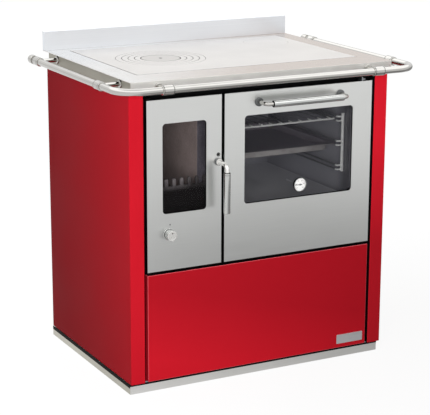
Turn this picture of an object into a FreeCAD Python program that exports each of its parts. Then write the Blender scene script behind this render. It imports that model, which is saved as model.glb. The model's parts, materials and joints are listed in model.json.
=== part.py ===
import FreeCAD, Part
import math
import os

os.makedirs("parts", exist_ok=True)
V = FreeCAD.Vector

# A wood-burning cooking stove, in millimetres. X runs to the right, Y to the back, Z up.
# The origin is on the floor, in the middle of the overall box. The doors face -Y.

# Body
body_width = 786.0
body_depth = 555.0
hob_height = 850.0
pillar_width = 41.0
door_gap = 9.0
panel_sheet = 1.5
edge_bend = 1.8
facade_setback = 24.0
facade_sheet = 3.0
return_width = 20.0
base_sheet = 3.5
base_inset = 10.0
plinth_height = 28.0
plinth_sheet = 3.0
plinth_ledge = 22.0
plinth_front_recess = 13.0
plinth_side_recess = 2.0
plinth_rear_reach = 7.5
rear_sheet = 1.5

# Hob top, cooking plate and rings
hob_sheet = 2.0
hob_side_overhang = 1.0
hob_front_overhang = 16.5
hob_rear_overhang = 29.0
hob_fascia = 30.0
hob_hem = 12.0
skirt_height = 33.0
skirt_recess = 6.0
splash_height = 54.0
splash_thickness = 17.5
plate_left_margin = 63.0
plate_right_margin = 49.0
plate_front_margin = 83.5
plate_back_margin = 20.0
plate_thickness = 8.0
plate_gap = 0.7
plate_seat = 12.0
seat_wall = 10.0
seat_sheet = 4.0
ring_inset = 174.0
ring_front_inset = 220.5
lid_radius = 55.0
ring_step = 17.5
ring_count = 4
ring_gap = 0.4
ring_seat = 6.0
lifter_radius = 4.0
lifter_depth = 4.5
flue_inset = 96.5
flue_back_inset = 106.5
flue_cover_radius = 66.5

# Handrail
rail_diameter = 19.0
rail_wall = 1.5
rail_drop = 15.5
rail_side_reach = 52.0
rail_front_reach = 70.0
rail_bend = 62.0
rail_end_setback = 18.0
tee_diameter = 25.0
tee_length = 33.0
tee_groove = 1.4
tee_groove_depth = 0.8
tee_post_diameter = 12.0
tee_front_inset = 77.0
tee_side_front_inset = 64.0
tee_side_back_inset = 65.0
rosette_diameter = 22.0
rosette_thickness = 4.0
cap_length = 20.0
cap_dome = 5.0
slip_clearance = 0.05

# Doors
door_drop = 53.5
door_height = 459.0
fire_door_width = 218.0
skin_sheet = 1.5
skin_return = 8.0
window_bottom_margin = 154.0
window_top_margin = 64.0
window_corner = 9.5
fire_window_width = 128.0
oven_window_width = 338.0
frame_clearance = 0.5
frame_depth = 14.5
frame_back = 3.0
frame_rim = 12.0
window_rim = 6.0
glass_sheet = 4.0
fire_glass_overlap = 10.0
oven_glass_overlap = 12.0
glass_clearance = 1.0
pane_corner = 12.0
seal_width = 8.0
seal_clearance = 0.3
seal_margin = 3.0
seal_corner = 12.0
clip_sheet = 1.5
clip_width = 26.0
clip_tongue = 7.0
clip_row_width = 90.0
pin_diameter = 6.0
pin_clearance = 0.06
fire_hinge_inset = 9.0
fire_hinge_setback = 9.0
hinge_strap = 3.0
hinge_strap_gap = 2.5
hinge_strap_width = 18.0
hinge_strap_front = 3.0
pin_engagement = 8.0
oven_hinge_setback = 12.0
oven_hinge_rise = 9.5
oven_hinge_inset = 17.0
ear_thickness = 4.0
ear_height = 10.0
ear_front_reach = 5.0
notch_clearance = 2.0
notch_rise = 8.5

# Handles, knob and thermometer
rod_diameter = 12.0
rod_clearance = 0.08
fire_pivot_inset = 9.5
fire_pivot_rise = 125.0
fire_handle_reach = 50.0
fire_handle_bend = 16.0
fire_grip_diameter = 18.0
fire_grip_top = 19.5
fire_grip_length = 111.0
grip_floor = 3.0
fire_collar_diameter = 20.0
fire_collar_thickness = 7.0
fire_collar_gap = 0.5
keyhole_rise = 19.5
keyhole_diameter = 6.0
keyhole_depth = 8.0
pivot_boss_wall = 2.4
cam_thickness = 5.0
cam_gap = 0.5
cam_hub_diameter = 16.0
cam_reach = 12.5
cam_width = 9.0
keeper_stud_diameter = 8.0
keeper_clearance = 0.5
knob_window_inset = 16.0
knob_window_drop = 55.0
knob_diameter = 28.0
knob_skirt_diameter = 32.0
knob_length = 25.0
knob_head = 20.5
knob_chamfer = 1.2
knob_clearance = 1.0
spindle_diameter = 8.0
boss_wall = 4.0
air_disc_diameter = 56.0
air_disc_thickness = 3.0
air_hole_diameter = 12.0
air_hole_circle = 36.0
air_hole_count = 4
dot_diameter = 3.0
dot_depth = 0.8
oven_handle_drop = 29.5
oven_handle_span = 254.0
oven_handle_reach = 45.0
oven_handle_bend = 16.0
oven_rod_diameter = 11.0
oven_grip_diameter = 19.0
oven_grip_length = 218.0
oven_rosette_diameter = 24.0
oven_rosette_thickness = 5.0
rod_embed = 10.0
dial_diameter = 40.0
dial_window_rise = 36.5
dial_case = 7.5
dial_recess = 3.0
dial_rim = 1.8
dial_standoff = 4.0
dial_neck_diameter = 34.0
probe_diameter = 6.0
probe_length = 62.0
needle_length = 16.0
needle_width = 2.0
needle_sheet = 0.6
needle_gap = 0.7
needle_hub_diameter = 5.5
needle_pin_diameter = 1.6
catch_inset = 27.0
catch_width = 13.0
catch_gap = 0.6
catch_sheet = 3.0
catch_roller_diameter = 8.0
catch_roller_width = 8.0

# Oven
oven_width = 360.0
oven_bottom_margin = 132.5
oven_top_margin = 44.5
oven_back_gap = 66.0
oven_sheet = 2.0
oven_flange = 13.0
oven_corner = 8.0
ladder_rod_diameter = 9.0
ladder_wire_diameter = 5.0
ladder_wall_gap = 0.2
ladder_reach = 15.5
ladder_bend = 4.0
ladder_foot_margin = 63.0
ladder_head_margin = 53.0
ladder_front = 33.0
ladder_back_gap = 49.0
ladder_pair_gap = 12.0
level_shares = (0.759, 0.5125, 0.266)
shelf_wire_diameter = 5.0
shelf_bar_diameter = 3.0
shelf_bar_pitch = 31.0
shelf_bar_count = 10
shelf_weld = 0.5
shelf_front = 45.0
shelf_back_gap = 52.0
shelf_corner = 12.0
rest_clearance = 0.1
tray_flange_width = 342.0
tray_body_width = 304.0
tray_depth = 20.0
tray_sheet = 1.2
tray_front = 46.0
tray_back_gap = 56.0
tray_corner = 25.0

# Firebox, ash space and smoke way
shell_wall = 4.0
shell_door_step = 2.0
shell_back_gap = 27.0
shell_floor_rise = 92.5
shell_brow = 53.0
ash_floor_rise = 18.0
ash_sheet = 2.5
fire_opening_inset = 25.0
fire_opening_width = 162.0
fire_sill = 10.0
fire_opening_drop = 48.5
ash_opening_drop = 6.0
lining = 25.0
lining_rise = 17.0
lining_front = 82.0
grate_width = 130.0
grate_front_inset = 100.0
grate_back_inset = 135.0
grate_thickness = 12.0
grate_seat = 10.0
grate_slot = 8.0
grate_bar = 12.0
grate_rim = 14.0
guard_front = 62.0
guard_thickness = 8.0
guard_plate_height = 113.0
guard_finger_height = 21.0
guard_finger_width = 10.0
guard_pitch = 22.7
guard_fingers = 8
guard_finger_shift = 13.0
guard_clearance = 2.0
ash_pan_sheet = 1.5
ash_pan_height = 48.0
ash_pan_front = 38.0
ash_pan_back_gap = 137.0
ash_pan_clearance = 4.0
ash_handle_diameter = 6.0
ash_handle_width = 80.0
ash_handle_reach = 14.0
ash_handle_bend = 6.0
duct_sheet = 2.0
duct_front = 75.0
duct_back_gap = 25.0
duct_floor_gap = 14.0
duct_right_gap = 48.0
duct_mouth_front = 100.0
duct_mouth_back_gap = 135.0
duct_mouth_margin = 4.0
chamber_width = 160.0
chamber_height = 173.0
chamber_gap = 3.0
spigot_radius = 65.0
spigot_wall = 2.0
spigot_flange = 15.0
spigot_flange_sheet = 2.5
hole_clearance = 0.3

# Wood drawer
drawer_gap = 8.5
drawer_lift = 1.0
drawer_return = 18.0
drawer_sheet = 1.5
drawer_apron_margin = 3.0
drawer_box_inset = 18.0
drawer_box_rear_gap = 85.0
drawer_box_drop = 44.0
drawer_box_rise = 16.5
drawer_opening_margin = 8.0
runner_gap = 0.2
runner_width = 24.0
runner_inset = 25.0
runner_wall = 2.0
runner_front = 30.0
runner_length = 470.0
badge_margin = 10.0
badge_width = 86.0
badge_rise = 12.0
badge_height = 26.5
badge_sheet = 1.0
badge_corner = 2.0

# Every cut runs past what it cuts by this much
over = 1.0

# Two places nearer than this are the same place
same_place = 0.01

# Places worked out from the sizes above
half = body_width / 2
left = -half
right = half
reach_front = rail_front_reach + tee_diameter / 2
reach_back = body_depth + hob_rear_overhang
front = (reach_front - reach_back) / 2
back = front + body_depth
hob_back = front + reach_back
hob_front = front - hob_front_overhang
facade_y = front + facade_setback
inner_y = facade_y + facade_sheet
panel_bottom = plinth_height + base_sheet
hob_under = hob_height - hob_sheet
panel_top = hob_under - skirt_height
skirt_half = half - skirt_recess
facade_half = skirt_half - panel_sheet
door_top = hob_height - door_drop
door_bottom = door_top - door_height
drawer_top = door_bottom - drawer_gap
drawer_bottom = panel_bottom + drawer_lift
fire_left = left + pillar_width + door_gap
fire_right = fire_left + fire_door_width
oven_left = fire_right + door_gap
oven_right = right - pillar_width - door_gap
window_bottom = door_bottom + window_bottom_margin
window_top = door_top - window_top_margin
fire_mid = (fire_left + fire_right) / 2
oven_mid = (oven_left + oven_right) / 2
oven_bottom = door_bottom + oven_bottom_margin
oven_top = door_top - oven_top_margin
ash_floor = door_bottom + ash_floor_rise
shell_floor = door_bottom + shell_floor_rise
fire_opening_bottom = shell_floor + fire_sill
fire_opening_top = door_top - fire_opening_drop
ash_opening_top = shell_floor - ash_opening_drop
rail_z = hob_height - rail_drop
seat_bottom = hob_height - plate_thickness - seat_sheet
plate_bottom = hob_height - plate_thickness
lip_bottom = hob_height - plate_thickness / 2
skin_back = front + skin_sheet
frame_rear = skin_back + frame_depth
shell_left = fire_left
shell_right = fire_right - shell_door_step
shell_back = back - shell_back_gap
oven_box_left = oven_mid - oven_width / 2
oven_box_right = oven_mid + oven_width / 2
oven_box_back = back - oven_back_gap
duct_bottom = oven_top + oven_sheet + duct_floor_gap
chamber_bottom = seat_bottom - chamber_height
plate_left = left + plate_left_margin
plate_right = right - plate_right_margin
plate_front = front + plate_front_margin
plate_back = back - plate_back_margin
ring_x = plate_left + ring_inset
ring_y = plate_front + ring_front_inset
flue_x = plate_right - flue_inset
flue_y = plate_back - flue_back_inset


def block(x0, x1, y0, y1, z0, z1):
    return Part.makeBox(x1 - x0, y1 - y0, z1 - z0, V(x0, y0, z0))


def rod(radius, start, end):
    way = end.sub(start)
    return Part.makeCylinder(radius, way.Length, start, way)


def rounded_wire(u0, u1, v0, v1, corner, w, plane):
    """A rectangle with round corners in the XY or XZ plane."""
    def at(u, v):
        return V(u, v, w) if plane == "xy" else V(u, w, v)
    bow = corner * (1 - math.sqrt(0.5))
    edges = [
        Part.LineSegment(at(u0 + corner, v0), at(u1 - corner, v0)).toShape(),
        Part.Arc(at(u1 - corner, v0), at(u1 - bow, v0 + bow), at(u1, v0 + corner)).toShape(),
        Part.LineSegment(at(u1, v0 + corner), at(u1, v1 - corner)).toShape(),
        Part.Arc(at(u1, v1 - corner), at(u1 - bow, v1 - bow), at(u1 - corner, v1)).toShape(),
        Part.LineSegment(at(u1 - corner, v1), at(u0 + corner, v1)).toShape(),
        Part.Arc(at(u0 + corner, v1), at(u0 + bow, v1 - bow), at(u0, v1 - corner)).toShape(),
        Part.LineSegment(at(u0, v1 - corner), at(u0, v0 + corner)).toShape(),
        Part.Arc(at(u0, v0 + corner), at(u0 + bow, v0 + bow), at(u0 + corner, v0)).toShape(),
    ]
    return Part.Wire(edges)


def rounded_slab(u0, u1, v0, v1, corner, w0, w1, plane):
    """A plate with round corners, w0 to w1 thick along the third axis."""
    face = Part.Face(rounded_wire(u0, u1, v0, v1, corner, w0, plane))
    way = V(0, 0, w1 - w0) if plane == "xy" else V(0, w1 - w0, 0)
    return face.extrude(way)


def bent_rod(points, bend, radius):
    """A round rod along straight runs joined by tangent arcs."""
    edges = []
    start = points[0]
    for here, corner, after in zip(points, points[1:], points[2:]):
        way_in = corner.sub(here).normalize()
        way_out = after.sub(corner).normalize()
        turn = way_in.getAngle(way_out)
        reach = bend * math.tan(turn / 2)
        arc_start = corner.sub(V(way_in).multiply(reach))
        arc_end = corner.add(V(way_out).multiply(reach))
        middle_way = V(way_out).sub(way_in).normalize()
        bow = bend / math.cos(turn / 2) - bend
        arc_middle = corner.add(middle_way.multiply(bow))
        edges.append(Part.LineSegment(start, arc_start).toShape())
        edges.append(Part.Arc(arc_start, arc_middle, arc_end).toShape())
        start = arc_end
    edges.append(Part.LineSegment(start, points[-1]).toShape())
    path = Part.Wire(edges)
    first_way = points[1].sub(points[0])
    section = Part.Wire([Part.Circle(points[0], first_way, radius).toShape()])
    return path.makePipeShell([section], True, False)


def fuse(shapes):
    whole = shapes[0].fuse(shapes[1:])
    return whole.removeSplitter()


def cut(shape, tools):
    for tool in tools:
        shape = shape.cut(tool)
    return shape


def mirrored(shape):
    return shape.mirror(V(0, 0, 0), V(1, 0, 0))


def both_sides(shape):
    return Part.makeCompound([shape, mirrored(shape)])


def upright_edges(shape, x, y):
    """The vertical edges of a shape that stand at one place."""
    found = []
    for edge in shape.Edges:
        box = edge.BoundBox
        off = max(box.XLength, box.YLength, abs(box.XMin - x), abs(box.YMin - y))
        if off < same_place:
            found.append(edge)
    return found


# Carcass


def plinth():
    x = half - plinth_side_recess
    y0 = front + plinth_front_recess
    y1 = back + plinth_rear_reach
    whole = block(-x, x, y0, y1, 0, plinth_height)
    room = block(-x + plinth_sheet, x - plinth_sheet, y0 + plinth_sheet, y1 - plinth_sheet,
                 -over, plinth_height - plinth_sheet)
    mouth = block(-x + plinth_ledge, x - plinth_ledge, y0 + plinth_ledge, y1 - plinth_ledge,
                  0, plinth_height + over)
    return cut(whole, [room, mouth])


def base_plate():
    x = half - base_inset
    return block(-x, x, front + plinth_front_recess, back, plinth_height, panel_bottom)


def side_panel_left():
    inner = left + panel_sheet
    post = left + pillar_width
    wall = block(left, inner, front, back, panel_bottom, panel_top)
    face = block(left, post, front, front + panel_sheet, panel_bottom, panel_top)
    turned = block(post - panel_sheet, post, front, facade_y, panel_bottom, panel_top)
    rear = block(left, left + return_width, back - panel_sheet, back, panel_bottom, panel_top)
    foot = block(left, left + return_width, inner_y, back, panel_bottom, panel_bottom + panel_sheet)
    head = block(left, left + skirt_recess + panel_sheet, inner_y, back, panel_top - panel_sheet, panel_top)
    panel = fuse([wall, face, turned, rear, foot, head])
    corners = upright_edges(panel, left, front) + upright_edges(panel, post, front)
    return panel.makeFillet(edge_bend, corners)


def rear_panel():
    x = half - skirt_recess - panel_sheet
    sheet = block(-x, x, back, back + rear_sheet, panel_bottom, hob_under)
    way = rod(spigot_radius + spigot_wall + hole_clearance,
              V(flue_x, back - over, chamber_mid()), V(flue_x, back + rear_sheet + over, chamber_mid()))
    return sheet.cut(way)


def front_frame():
    plate = block(-facade_half, facade_half, facade_y, inner_y, panel_bottom, hob_under)
    y0 = facade_y - over
    y1 = inner_y + over
    fire_x0 = fire_left + fire_opening_inset
    fire_x1 = fire_x0 + fire_opening_width
    fire = rounded_slab(fire_x0, fire_x1, fire_opening_bottom, fire_opening_top, oven_corner, y0, y1, "xz")
    ash = block(fire_x0, fire_x1, y0, y1, ash_floor + ash_sheet, ash_opening_top)
    oven = rounded_slab(oven_box_left, oven_box_right, oven_bottom, oven_top, oven_corner, y0, y1, "xz")
    margin = drawer_opening_margin
    box_x = drawer_box_half() + margin
    box_z = drawer_box_bottom()
    drawer = block(-box_x, box_x, y0, y1, box_z - margin / 2, drawer_box_top() + margin)
    return cut(plate, [fire, ash, oven, drawer])


# Hob


def hob_frame():
    x = half + hob_side_overhang
    top = block(-x, x, hob_front, hob_back, hob_under, hob_height)
    fascia = block(-x, x, hob_front, hob_front + hob_sheet, hob_height - hob_fascia, hob_under)
    hem_x = facade_half - plate_gap
    hem = block(-hem_x, hem_x, hob_front, hob_front + hob_hem,
                hob_height - hob_fascia, hob_height - hob_fascia + hob_sheet)
    px0 = plate_left - plate_gap
    px1 = plate_right + plate_gap
    py0 = plate_front - plate_gap
    py1 = plate_back + plate_gap
    seat = block(px0 - seat_wall, px1 + seat_wall, py0 - seat_wall, py1 + seat_wall, seat_bottom, hob_under)
    whole = fuse([top, fascia, hem, seat])
    well = block(px0, px1, py0, py1, plate_bottom, hob_height + over)
    mouth = block(px0 + plate_seat, px1 - plate_seat, py0 + plate_seat, py1 - plate_seat,
                  seat_bottom - over, hob_height)
    return cut(whole, [well, mouth])


def hob_skirt():
    y0 = hob_front + hob_sheet
    inner = skirt_half - panel_sheet
    side = block(-skirt_half, -inner, y0, back, panel_top, hob_under)
    return both_sides(side)


def splash_back():
    x = half + hob_side_overhang
    y0 = hob_back - splash_thickness
    whole = block(-x, x, y0, hob_back, hob_height, hob_height + splash_height)
    room = block(-x + panel_sheet, x - panel_sheet, y0 + panel_sheet, hob_back - panel_sheet,
                 hob_height - over, hob_height + splash_height - panel_sheet)
    return whole.cut(room)


def ring_radius(number):
    """Outer radius of ring 1 to 4, counted from the lid, which is number 0."""
    return lid_radius + ring_step * number


def round_at(x, y, radius, z0, z1):
    return rod(radius, V(x, y, z0), V(x, y, z1))


def stepped_disc(x, y, radius):
    upper = round_at(x, y, radius, lip_bottom, hob_height)
    lower = round_at(x, y, radius - ring_seat - ring_gap, plate_bottom, lip_bottom)
    return fuse([upper, lower])


def stepped_hole(x, y, radius):
    upper = round_at(x, y, radius + ring_gap, lip_bottom, hob_height + over)
    lower = round_at(x, y, radius - ring_seat, plate_bottom - over, hob_height)
    return fuse([upper, lower])


def cooking_plate():
    plate = block(plate_left, plate_right, plate_front, plate_back, plate_bottom, hob_height)
    return cut(plate, [stepped_hole(ring_x, ring_y, ring_radius(ring_count)),
                       stepped_hole(flue_x, flue_y, flue_cover_radius)])


def hob_ring(number):
    disc = stepped_disc(ring_x, ring_y, ring_radius(number))
    return disc.cut(stepped_hole(ring_x, ring_y, ring_radius(number - 1)))


def centre_lid():
    disc = stepped_disc(ring_x, ring_y, lid_radius)
    return disc.cut(round_at(ring_x, ring_y, lifter_radius, hob_height - lifter_depth, hob_height + over))


def flue_cover():
    return stepped_disc(flue_x, flue_y, flue_cover_radius)


# Handrail


def rail_points():
    x = half + rail_side_reach
    y_end = back - rail_end_setback
    y_front = front - rail_front_reach
    return [V(-x, y_end, rail_z), V(-x, y_front, rail_z), V(x, y_front, rail_z), V(x, y_end, rail_z)]


def handrail():
    outside = bent_rod(rail_points(), rail_bend, rail_diameter / 2)
    inside = bent_rod(rail_points(), rail_bend, rail_diameter / 2 - rail_wall)
    return outside.cut(inside)


def tee(centre, along, wall):
    """A clamp sleeve on the rail, with its post to the hob."""
    half_way = V(along).multiply(tee_length / 2)
    sleeve = rod(tee_diameter / 2, centre.sub(half_way), centre.add(half_way))
    post = rod(tee_post_diameter / 2, centre, wall)
    whole = fuse([sleeve, post])
    bore = rod(rail_diameter / 2 + slip_clearance,
               centre.sub(V(along).multiply(tee_length)), centre.add(V(along).multiply(tee_length)))
    whole = whole.cut(bore)
    for side in (-1, 1):
        middle = centre.add(V(along).multiply(side * (tee_length / 2 - 2 * tee_groove)))
        step = V(along).multiply(tee_groove / 2)
        band = rod(tee_diameter / 2 + over, middle.sub(step), middle.add(step))
        band = band.cut(rod(tee_diameter / 2 - tee_groove_depth, middle.sub(step), middle.add(step)))
        band = band.cut(rod(tee_post_diameter / 2, centre, wall))
        whole = whole.cut(band)
    return whole


def tee_places():
    """Each tee's centre on the rail, the rail's way there, and where its post meets the stove."""
    x = half + rail_side_reach
    y_front = front - rail_front_reach
    places = []
    for side in (-1, 1):
        for y in (front + tee_side_front_inset, back - tee_side_back_inset):
            places.append((V(side * x, y, rail_z), V(0, 1, 0), V(side * skirt_half, y, rail_z)))
        inset = half - tee_front_inset
        places.append((V(side * inset, y_front, rail_z), V(1, 0, 0), V(side * inset, hob_front, rail_z)))
    return places


def rail_tees():
    return Part.makeCompound([tee(*place) for place in tee_places()])


def rail_rosettes():
    rosettes = []
    for centre, along, wall in tee_places():
        way = centre.sub(wall).normalize()
        outer = wall.add(V(way).multiply(rosette_thickness))
        disc = rod(rosette_diameter / 2, wall, outer)
        bore = rod(tee_post_diameter / 2 + slip_clearance, wall.sub(way), outer.add(way))
        rosettes.append(disc.cut(bore))
    return Part.makeCompound(rosettes)


def rail_end_caps():
    x = half + rail_side_reach
    y_end = back - rail_end_setback
    centre = V(-x, y_end - cap_length, rail_z)
    whole = rod(tee_diameter / 2, centre, V(-x, y_end + cap_dome, rail_z))
    rim = [edge for edge in whole.Edges if abs(edge.BoundBox.YMin - y_end - cap_dome) < same_place]
    whole = whole.makeFillet(cap_dome, rim)
    mouth = V(-x, y_end - cap_length - over, rail_z)
    bore = rod(rail_diameter / 2 + slip_clearance, mouth, V(-x, y_end, rail_z))
    return both_sides(whole.cut(bore))


# Oven


def oven_box():
    s = oven_sheet
    x0 = oven_box_left
    x1 = oven_box_right
    y1 = oven_box_back
    whole = rounded_slab(x0 - s, x1 + s, oven_bottom - s, oven_top + s, oven_corner + s, inner_y, y1, "xz")
    flange = block(x0 - oven_flange, x1 + oven_flange, inner_y, inner_y + s,
                   oven_bottom - oven_flange, oven_top + oven_flange)
    room = rounded_slab(x0, x1, oven_bottom, oven_top, oven_corner, inner_y - over, y1 - s, "xz")
    return fuse([whole, flange]).cut(room)


def ladder_runner_x():
    """Distance of the shelf runners from the oven's middle."""
    return oven_width / 2 - ladder_wall_gap - ladder_rod_diameter / 2 - ladder_reach


def rack_levels():
    """Heights of the shelf places, from the top one down."""
    return [oven_bottom + (oven_top - oven_bottom) * share for share in level_shares]


def oven_ladders():
    x_rod = oven_mid + oven_width / 2 - ladder_wall_gap - ladder_rod_diameter / 2
    x_run = oven_mid + ladder_runner_x()
    y0 = inner_y + ladder_front
    y1 = oven_box_back - ladder_back_gap
    pieces = [rod(ladder_rod_diameter / 2, V(x_rod, y, oven_bottom + ladder_foot_margin),
                  V(x_rod, y, oven_top - ladder_head_margin)) for y in (y0, y1)]
    for level in rack_levels():
        for side in (-1, 1):
            z = level + side * ladder_pair_gap / 2
            points = [V(x_rod, y0, z), V(x_run, y0, z), V(x_run, y1, z), V(x_rod, y1, z)]
            pieces.append(bent_rod(points, ladder_bend, ladder_wire_diameter / 2))
    ladder = fuse(pieces)
    other = ladder.mirror(V(oven_mid, 0, 0), V(1, 0, 0))
    return Part.makeCompound([ladder, other])


def oven_shelf():
    r = shelf_wire_diameter / 2
    x = ladder_runner_x()
    y0 = inner_y + shelf_front
    y1 = oven_box_back - shelf_back_gap
    z = rack_levels()[0] - ladder_pair_gap / 2 + ladder_wire_diameter / 2 + rest_clearance + r
    middle = V(oven_mid, y0, z)
    points = [middle, V(oven_mid - x, y0, z), V(oven_mid - x, y1, z), V(oven_mid + x, y1, z),
              V(oven_mid + x, y0, z), middle]
    pieces = [bent_rod(points, shelf_corner, r)]
    bar_z = z + r + shelf_bar_diameter / 2 - shelf_weld
    first = oven_mid - shelf_bar_pitch * (shelf_bar_count - 1) / 2
    for number in range(shelf_bar_count):
        bar_x = first + shelf_bar_pitch * number
        pieces.append(rod(shelf_bar_diameter / 2, V(bar_x, y0 - r, bar_z), V(bar_x, y1 + r, bar_z)))
    return fuse(pieces)


def baking_tray():
    z1 = rack_levels()[1] - ladder_pair_gap / 2 + ladder_wire_diameter / 2 + rest_clearance + tray_sheet
    z0 = z1 - tray_depth
    y0 = inner_y + tray_front
    y1 = oven_box_back - tray_back_gap
    lip = (tray_flange_width - tray_body_width) / 2
    x0 = oven_mid - tray_body_width / 2
    x1 = oven_mid + tray_body_width / 2
    flange = rounded_slab(x0 - lip, x1 + lip, y0, y1, tray_corner, z1 - tray_sheet, z1, "xy")
    body = rounded_slab(x0, x1, y0 + lip, y1 - lip, tray_corner, z0, z1, "xy")
    room = rounded_slab(x0 + tray_sheet, x1 - tray_sheet, y0 + lip + tray_sheet, y1 - lip - tray_sheet,
                        tray_corner - tray_sheet, z0 + tray_sheet, z1 + over, "xy")
    return fuse([flange, body]).cut(room)


# Firebox and smoke way


def firebox_shell():
    w = shell_wall
    whole = block(shell_left, shell_right, inner_y, shell_back, ash_floor, seat_bottom)
    upper = block(shell_left + w, shell_right - w, inner_y - over, shell_back - w,
                  shell_floor + w, seat_bottom - w)
    mouth_up = block(shell_left + w, shell_right - w, inner_y + shell_brow, shell_back - w,
                     seat_bottom - 2 * w, seat_bottom + over)
    lower = block(shell_left + w, shell_right - w, inner_y - over, shell_back - w,
                  ash_floor + ash_sheet, shell_floor)
    x0, x1 = grate_span()
    y0 = front + grate_front_inset + grate_seat
    y1 = back - grate_back_inset - grate_seat
    drop = block(x0 + grate_seat, x1 - grate_seat, y0, y1, shell_floor - over, shell_floor + w + over)
    mouth = block(shell_right - w - over, shell_right + over,
                  front + duct_mouth_front, back - duct_mouth_back_gap,
                  duct_bottom + duct_sheet + duct_mouth_margin, seat_bottom - duct_mouth_margin)
    return cut(whole, [upper, mouth_up, lower, drop, mouth])


def grate_span():
    middle = (shell_left + shell_right) / 2
    return middle - grate_width / 2, middle + grate_width / 2


def fire_lining_sides():
    z0 = shell_floor + shell_wall
    y0 = front + lining_front
    y1 = shell_back - shell_wall - lining
    x0 = shell_left + shell_wall
    x1 = shell_right - shell_wall
    return Part.makeCompound([block(x0, x0 + lining, y0, y1, z0, fire_opening_top + lining_rise),
                              block(x1 - lining, x1, y0, y1, z0, fire_opening_top + lining_rise)])


def fire_lining_back():
    y1 = shell_back - shell_wall
    return block(shell_left + shell_wall, shell_right - shell_wall, y1 - lining, y1,
                 shell_floor + shell_wall, seat_bottom)


def fire_grate():
    x0, x1 = grate_span()
    y0 = front + grate_front_inset
    y1 = back - grate_back_inset
    grate_length = y1 - y0
    z0 = shell_floor + shell_wall
    grate = block(x0, x1, y0, y1, z0, z0 + grate_thickness)
    pitch = grate_slot + grate_bar
    count = int((grate_length - 2 * grate_rim + grate_bar) / pitch)
    used = count * pitch - grate_bar
    y = y0 + (grate_length - used) / 2
    for number in range(count):
        slot_y = y + pitch * number
        grate = grate.cut(block(x0 + grate_rim, x1 - grate_rim, slot_y, slot_y + grate_slot,
                                z0 - over, z0 + grate_thickness + over))
    return grate


def log_guard():
    x0 = shell_left + shell_wall + guard_clearance
    x1 = shell_right - shell_wall - guard_clearance
    y0 = front + guard_front
    y1 = y0 + guard_thickness
    plate_top = shell_floor + shell_wall + guard_plate_height
    finger_top = plate_top + guard_finger_height
    pieces = [block(x0, x1, y0, y1, shell_floor + shell_wall, plate_top)]
    middle = (x0 + x1) / 2 + guard_finger_shift
    r = guard_finger_width / 2
    for number in range(guard_fingers):
        x = middle + guard_pitch * (number - (guard_fingers - 1) / 2)
        pieces.append(block(x - r, x + r, y0, y1, plate_top, finger_top - r))
        pieces.append(rod(r, V(x, y0, finger_top - r), V(x, y1, finger_top - r)))
    return fuse(pieces)


def ash_pan():
    s = ash_pan_sheet
    x0 = fire_left + fire_opening_inset + ash_pan_clearance
    x1 = fire_left + fire_opening_inset + fire_opening_width - ash_pan_clearance
    y0 = front + ash_pan_front
    y1 = back - ash_pan_back_gap
    z0 = ash_floor + ash_sheet
    z1 = z0 + ash_pan_height
    whole = block(x0, x1, y0, y1, z0, z1)
    room = block(x0 + s, x1 - s, y0 + s, y1 - s, z0 + s, z1 + over)
    pan = whole.cut(room)
    middle = (x0 + x1) / 2
    z = (z0 + z1) / 2
    w = ash_handle_width / 2
    points = [V(middle - w, y0 + s / 2, z), V(middle - w, y0 - ash_handle_reach, z),
              V(middle + w, y0 - ash_handle_reach, z), V(middle + w, y0 + s / 2, z)]
    return fuse([pan, bent_rod(points, ash_handle_bend, ash_handle_diameter / 2)])


def chamber_mid():
    return (chamber_bottom + seat_bottom) / 2


def smoke_box():
    s = duct_sheet
    x0 = shell_right
    x1 = right - duct_right_gap
    y0 = front + duct_front
    y1 = back - duct_back_gap
    duct = block(x0, x1, y0, y1, duct_bottom, seat_bottom)
    duct_room = block(x0 - over, x1 - s, y0 + s, y1 - s, duct_bottom + s, seat_bottom + over)
    cx0 = flue_x - chamber_width / 2
    cx1 = flue_x + chamber_width / 2
    cy0 = oven_box_back
    cy1 = back - chamber_gap
    chamber = block(cx0, cx1, cy0, cy1, chamber_bottom, seat_bottom)
    chamber_room = block(cx0 + s, cx1 - s, cy0 + s, cy1 - s, chamber_bottom + s, seat_bottom + over)
    way = rod(spigot_radius + spigot_wall + slip_clearance,
              V(flue_x, cy1 - s - over, chamber_mid()), V(flue_x, cy1 + over, chamber_mid()))
    return cut(fuse([duct, chamber]), [duct_room, chamber_room, way])


def flue_spigot():
    y0 = back - chamber_gap - duct_sheet
    centre0 = V(flue_x, y0, chamber_mid())
    centre1 = V(flue_x, hob_back, chamber_mid())
    tube = rod(spigot_radius + spigot_wall, centre0, centre1)
    f0 = V(flue_x, back + rear_sheet, chamber_mid())
    f1 = V(flue_x, back + rear_sheet + spigot_flange_sheet, chamber_mid())
    flange = rod(spigot_radius + spigot_wall + spigot_flange, f0, f1)
    bore = across(flue_x, chamber_mid(), spigot_radius, y0 - over, hob_back + over)
    return fuse([tube, flange]).cut(bore)


# Fire door


def door_skin(x0, x1, middle, window_width):
    """A folded door front with its window."""
    s = skin_sheet
    whole = block(x0, x1, front, front + skin_return, door_bottom, door_top)
    room = block(x0 + s, x1 - s, skin_back, front + skin_return + over, door_bottom + s, door_top - s)
    window = rounded_slab(middle - window_width / 2, middle + window_width / 2, window_bottom, window_top,
                          window_corner, front - over, skin_back + over, "xz")
    return cut(whole, [room, window])


def frame_limits(x0, x1):
    """The inner frame's outline, just inside the folded skin."""
    inset = skin_sheet + frame_clearance
    return x0 + inset, x1 - inset, door_bottom + inset, door_top - inset


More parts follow.
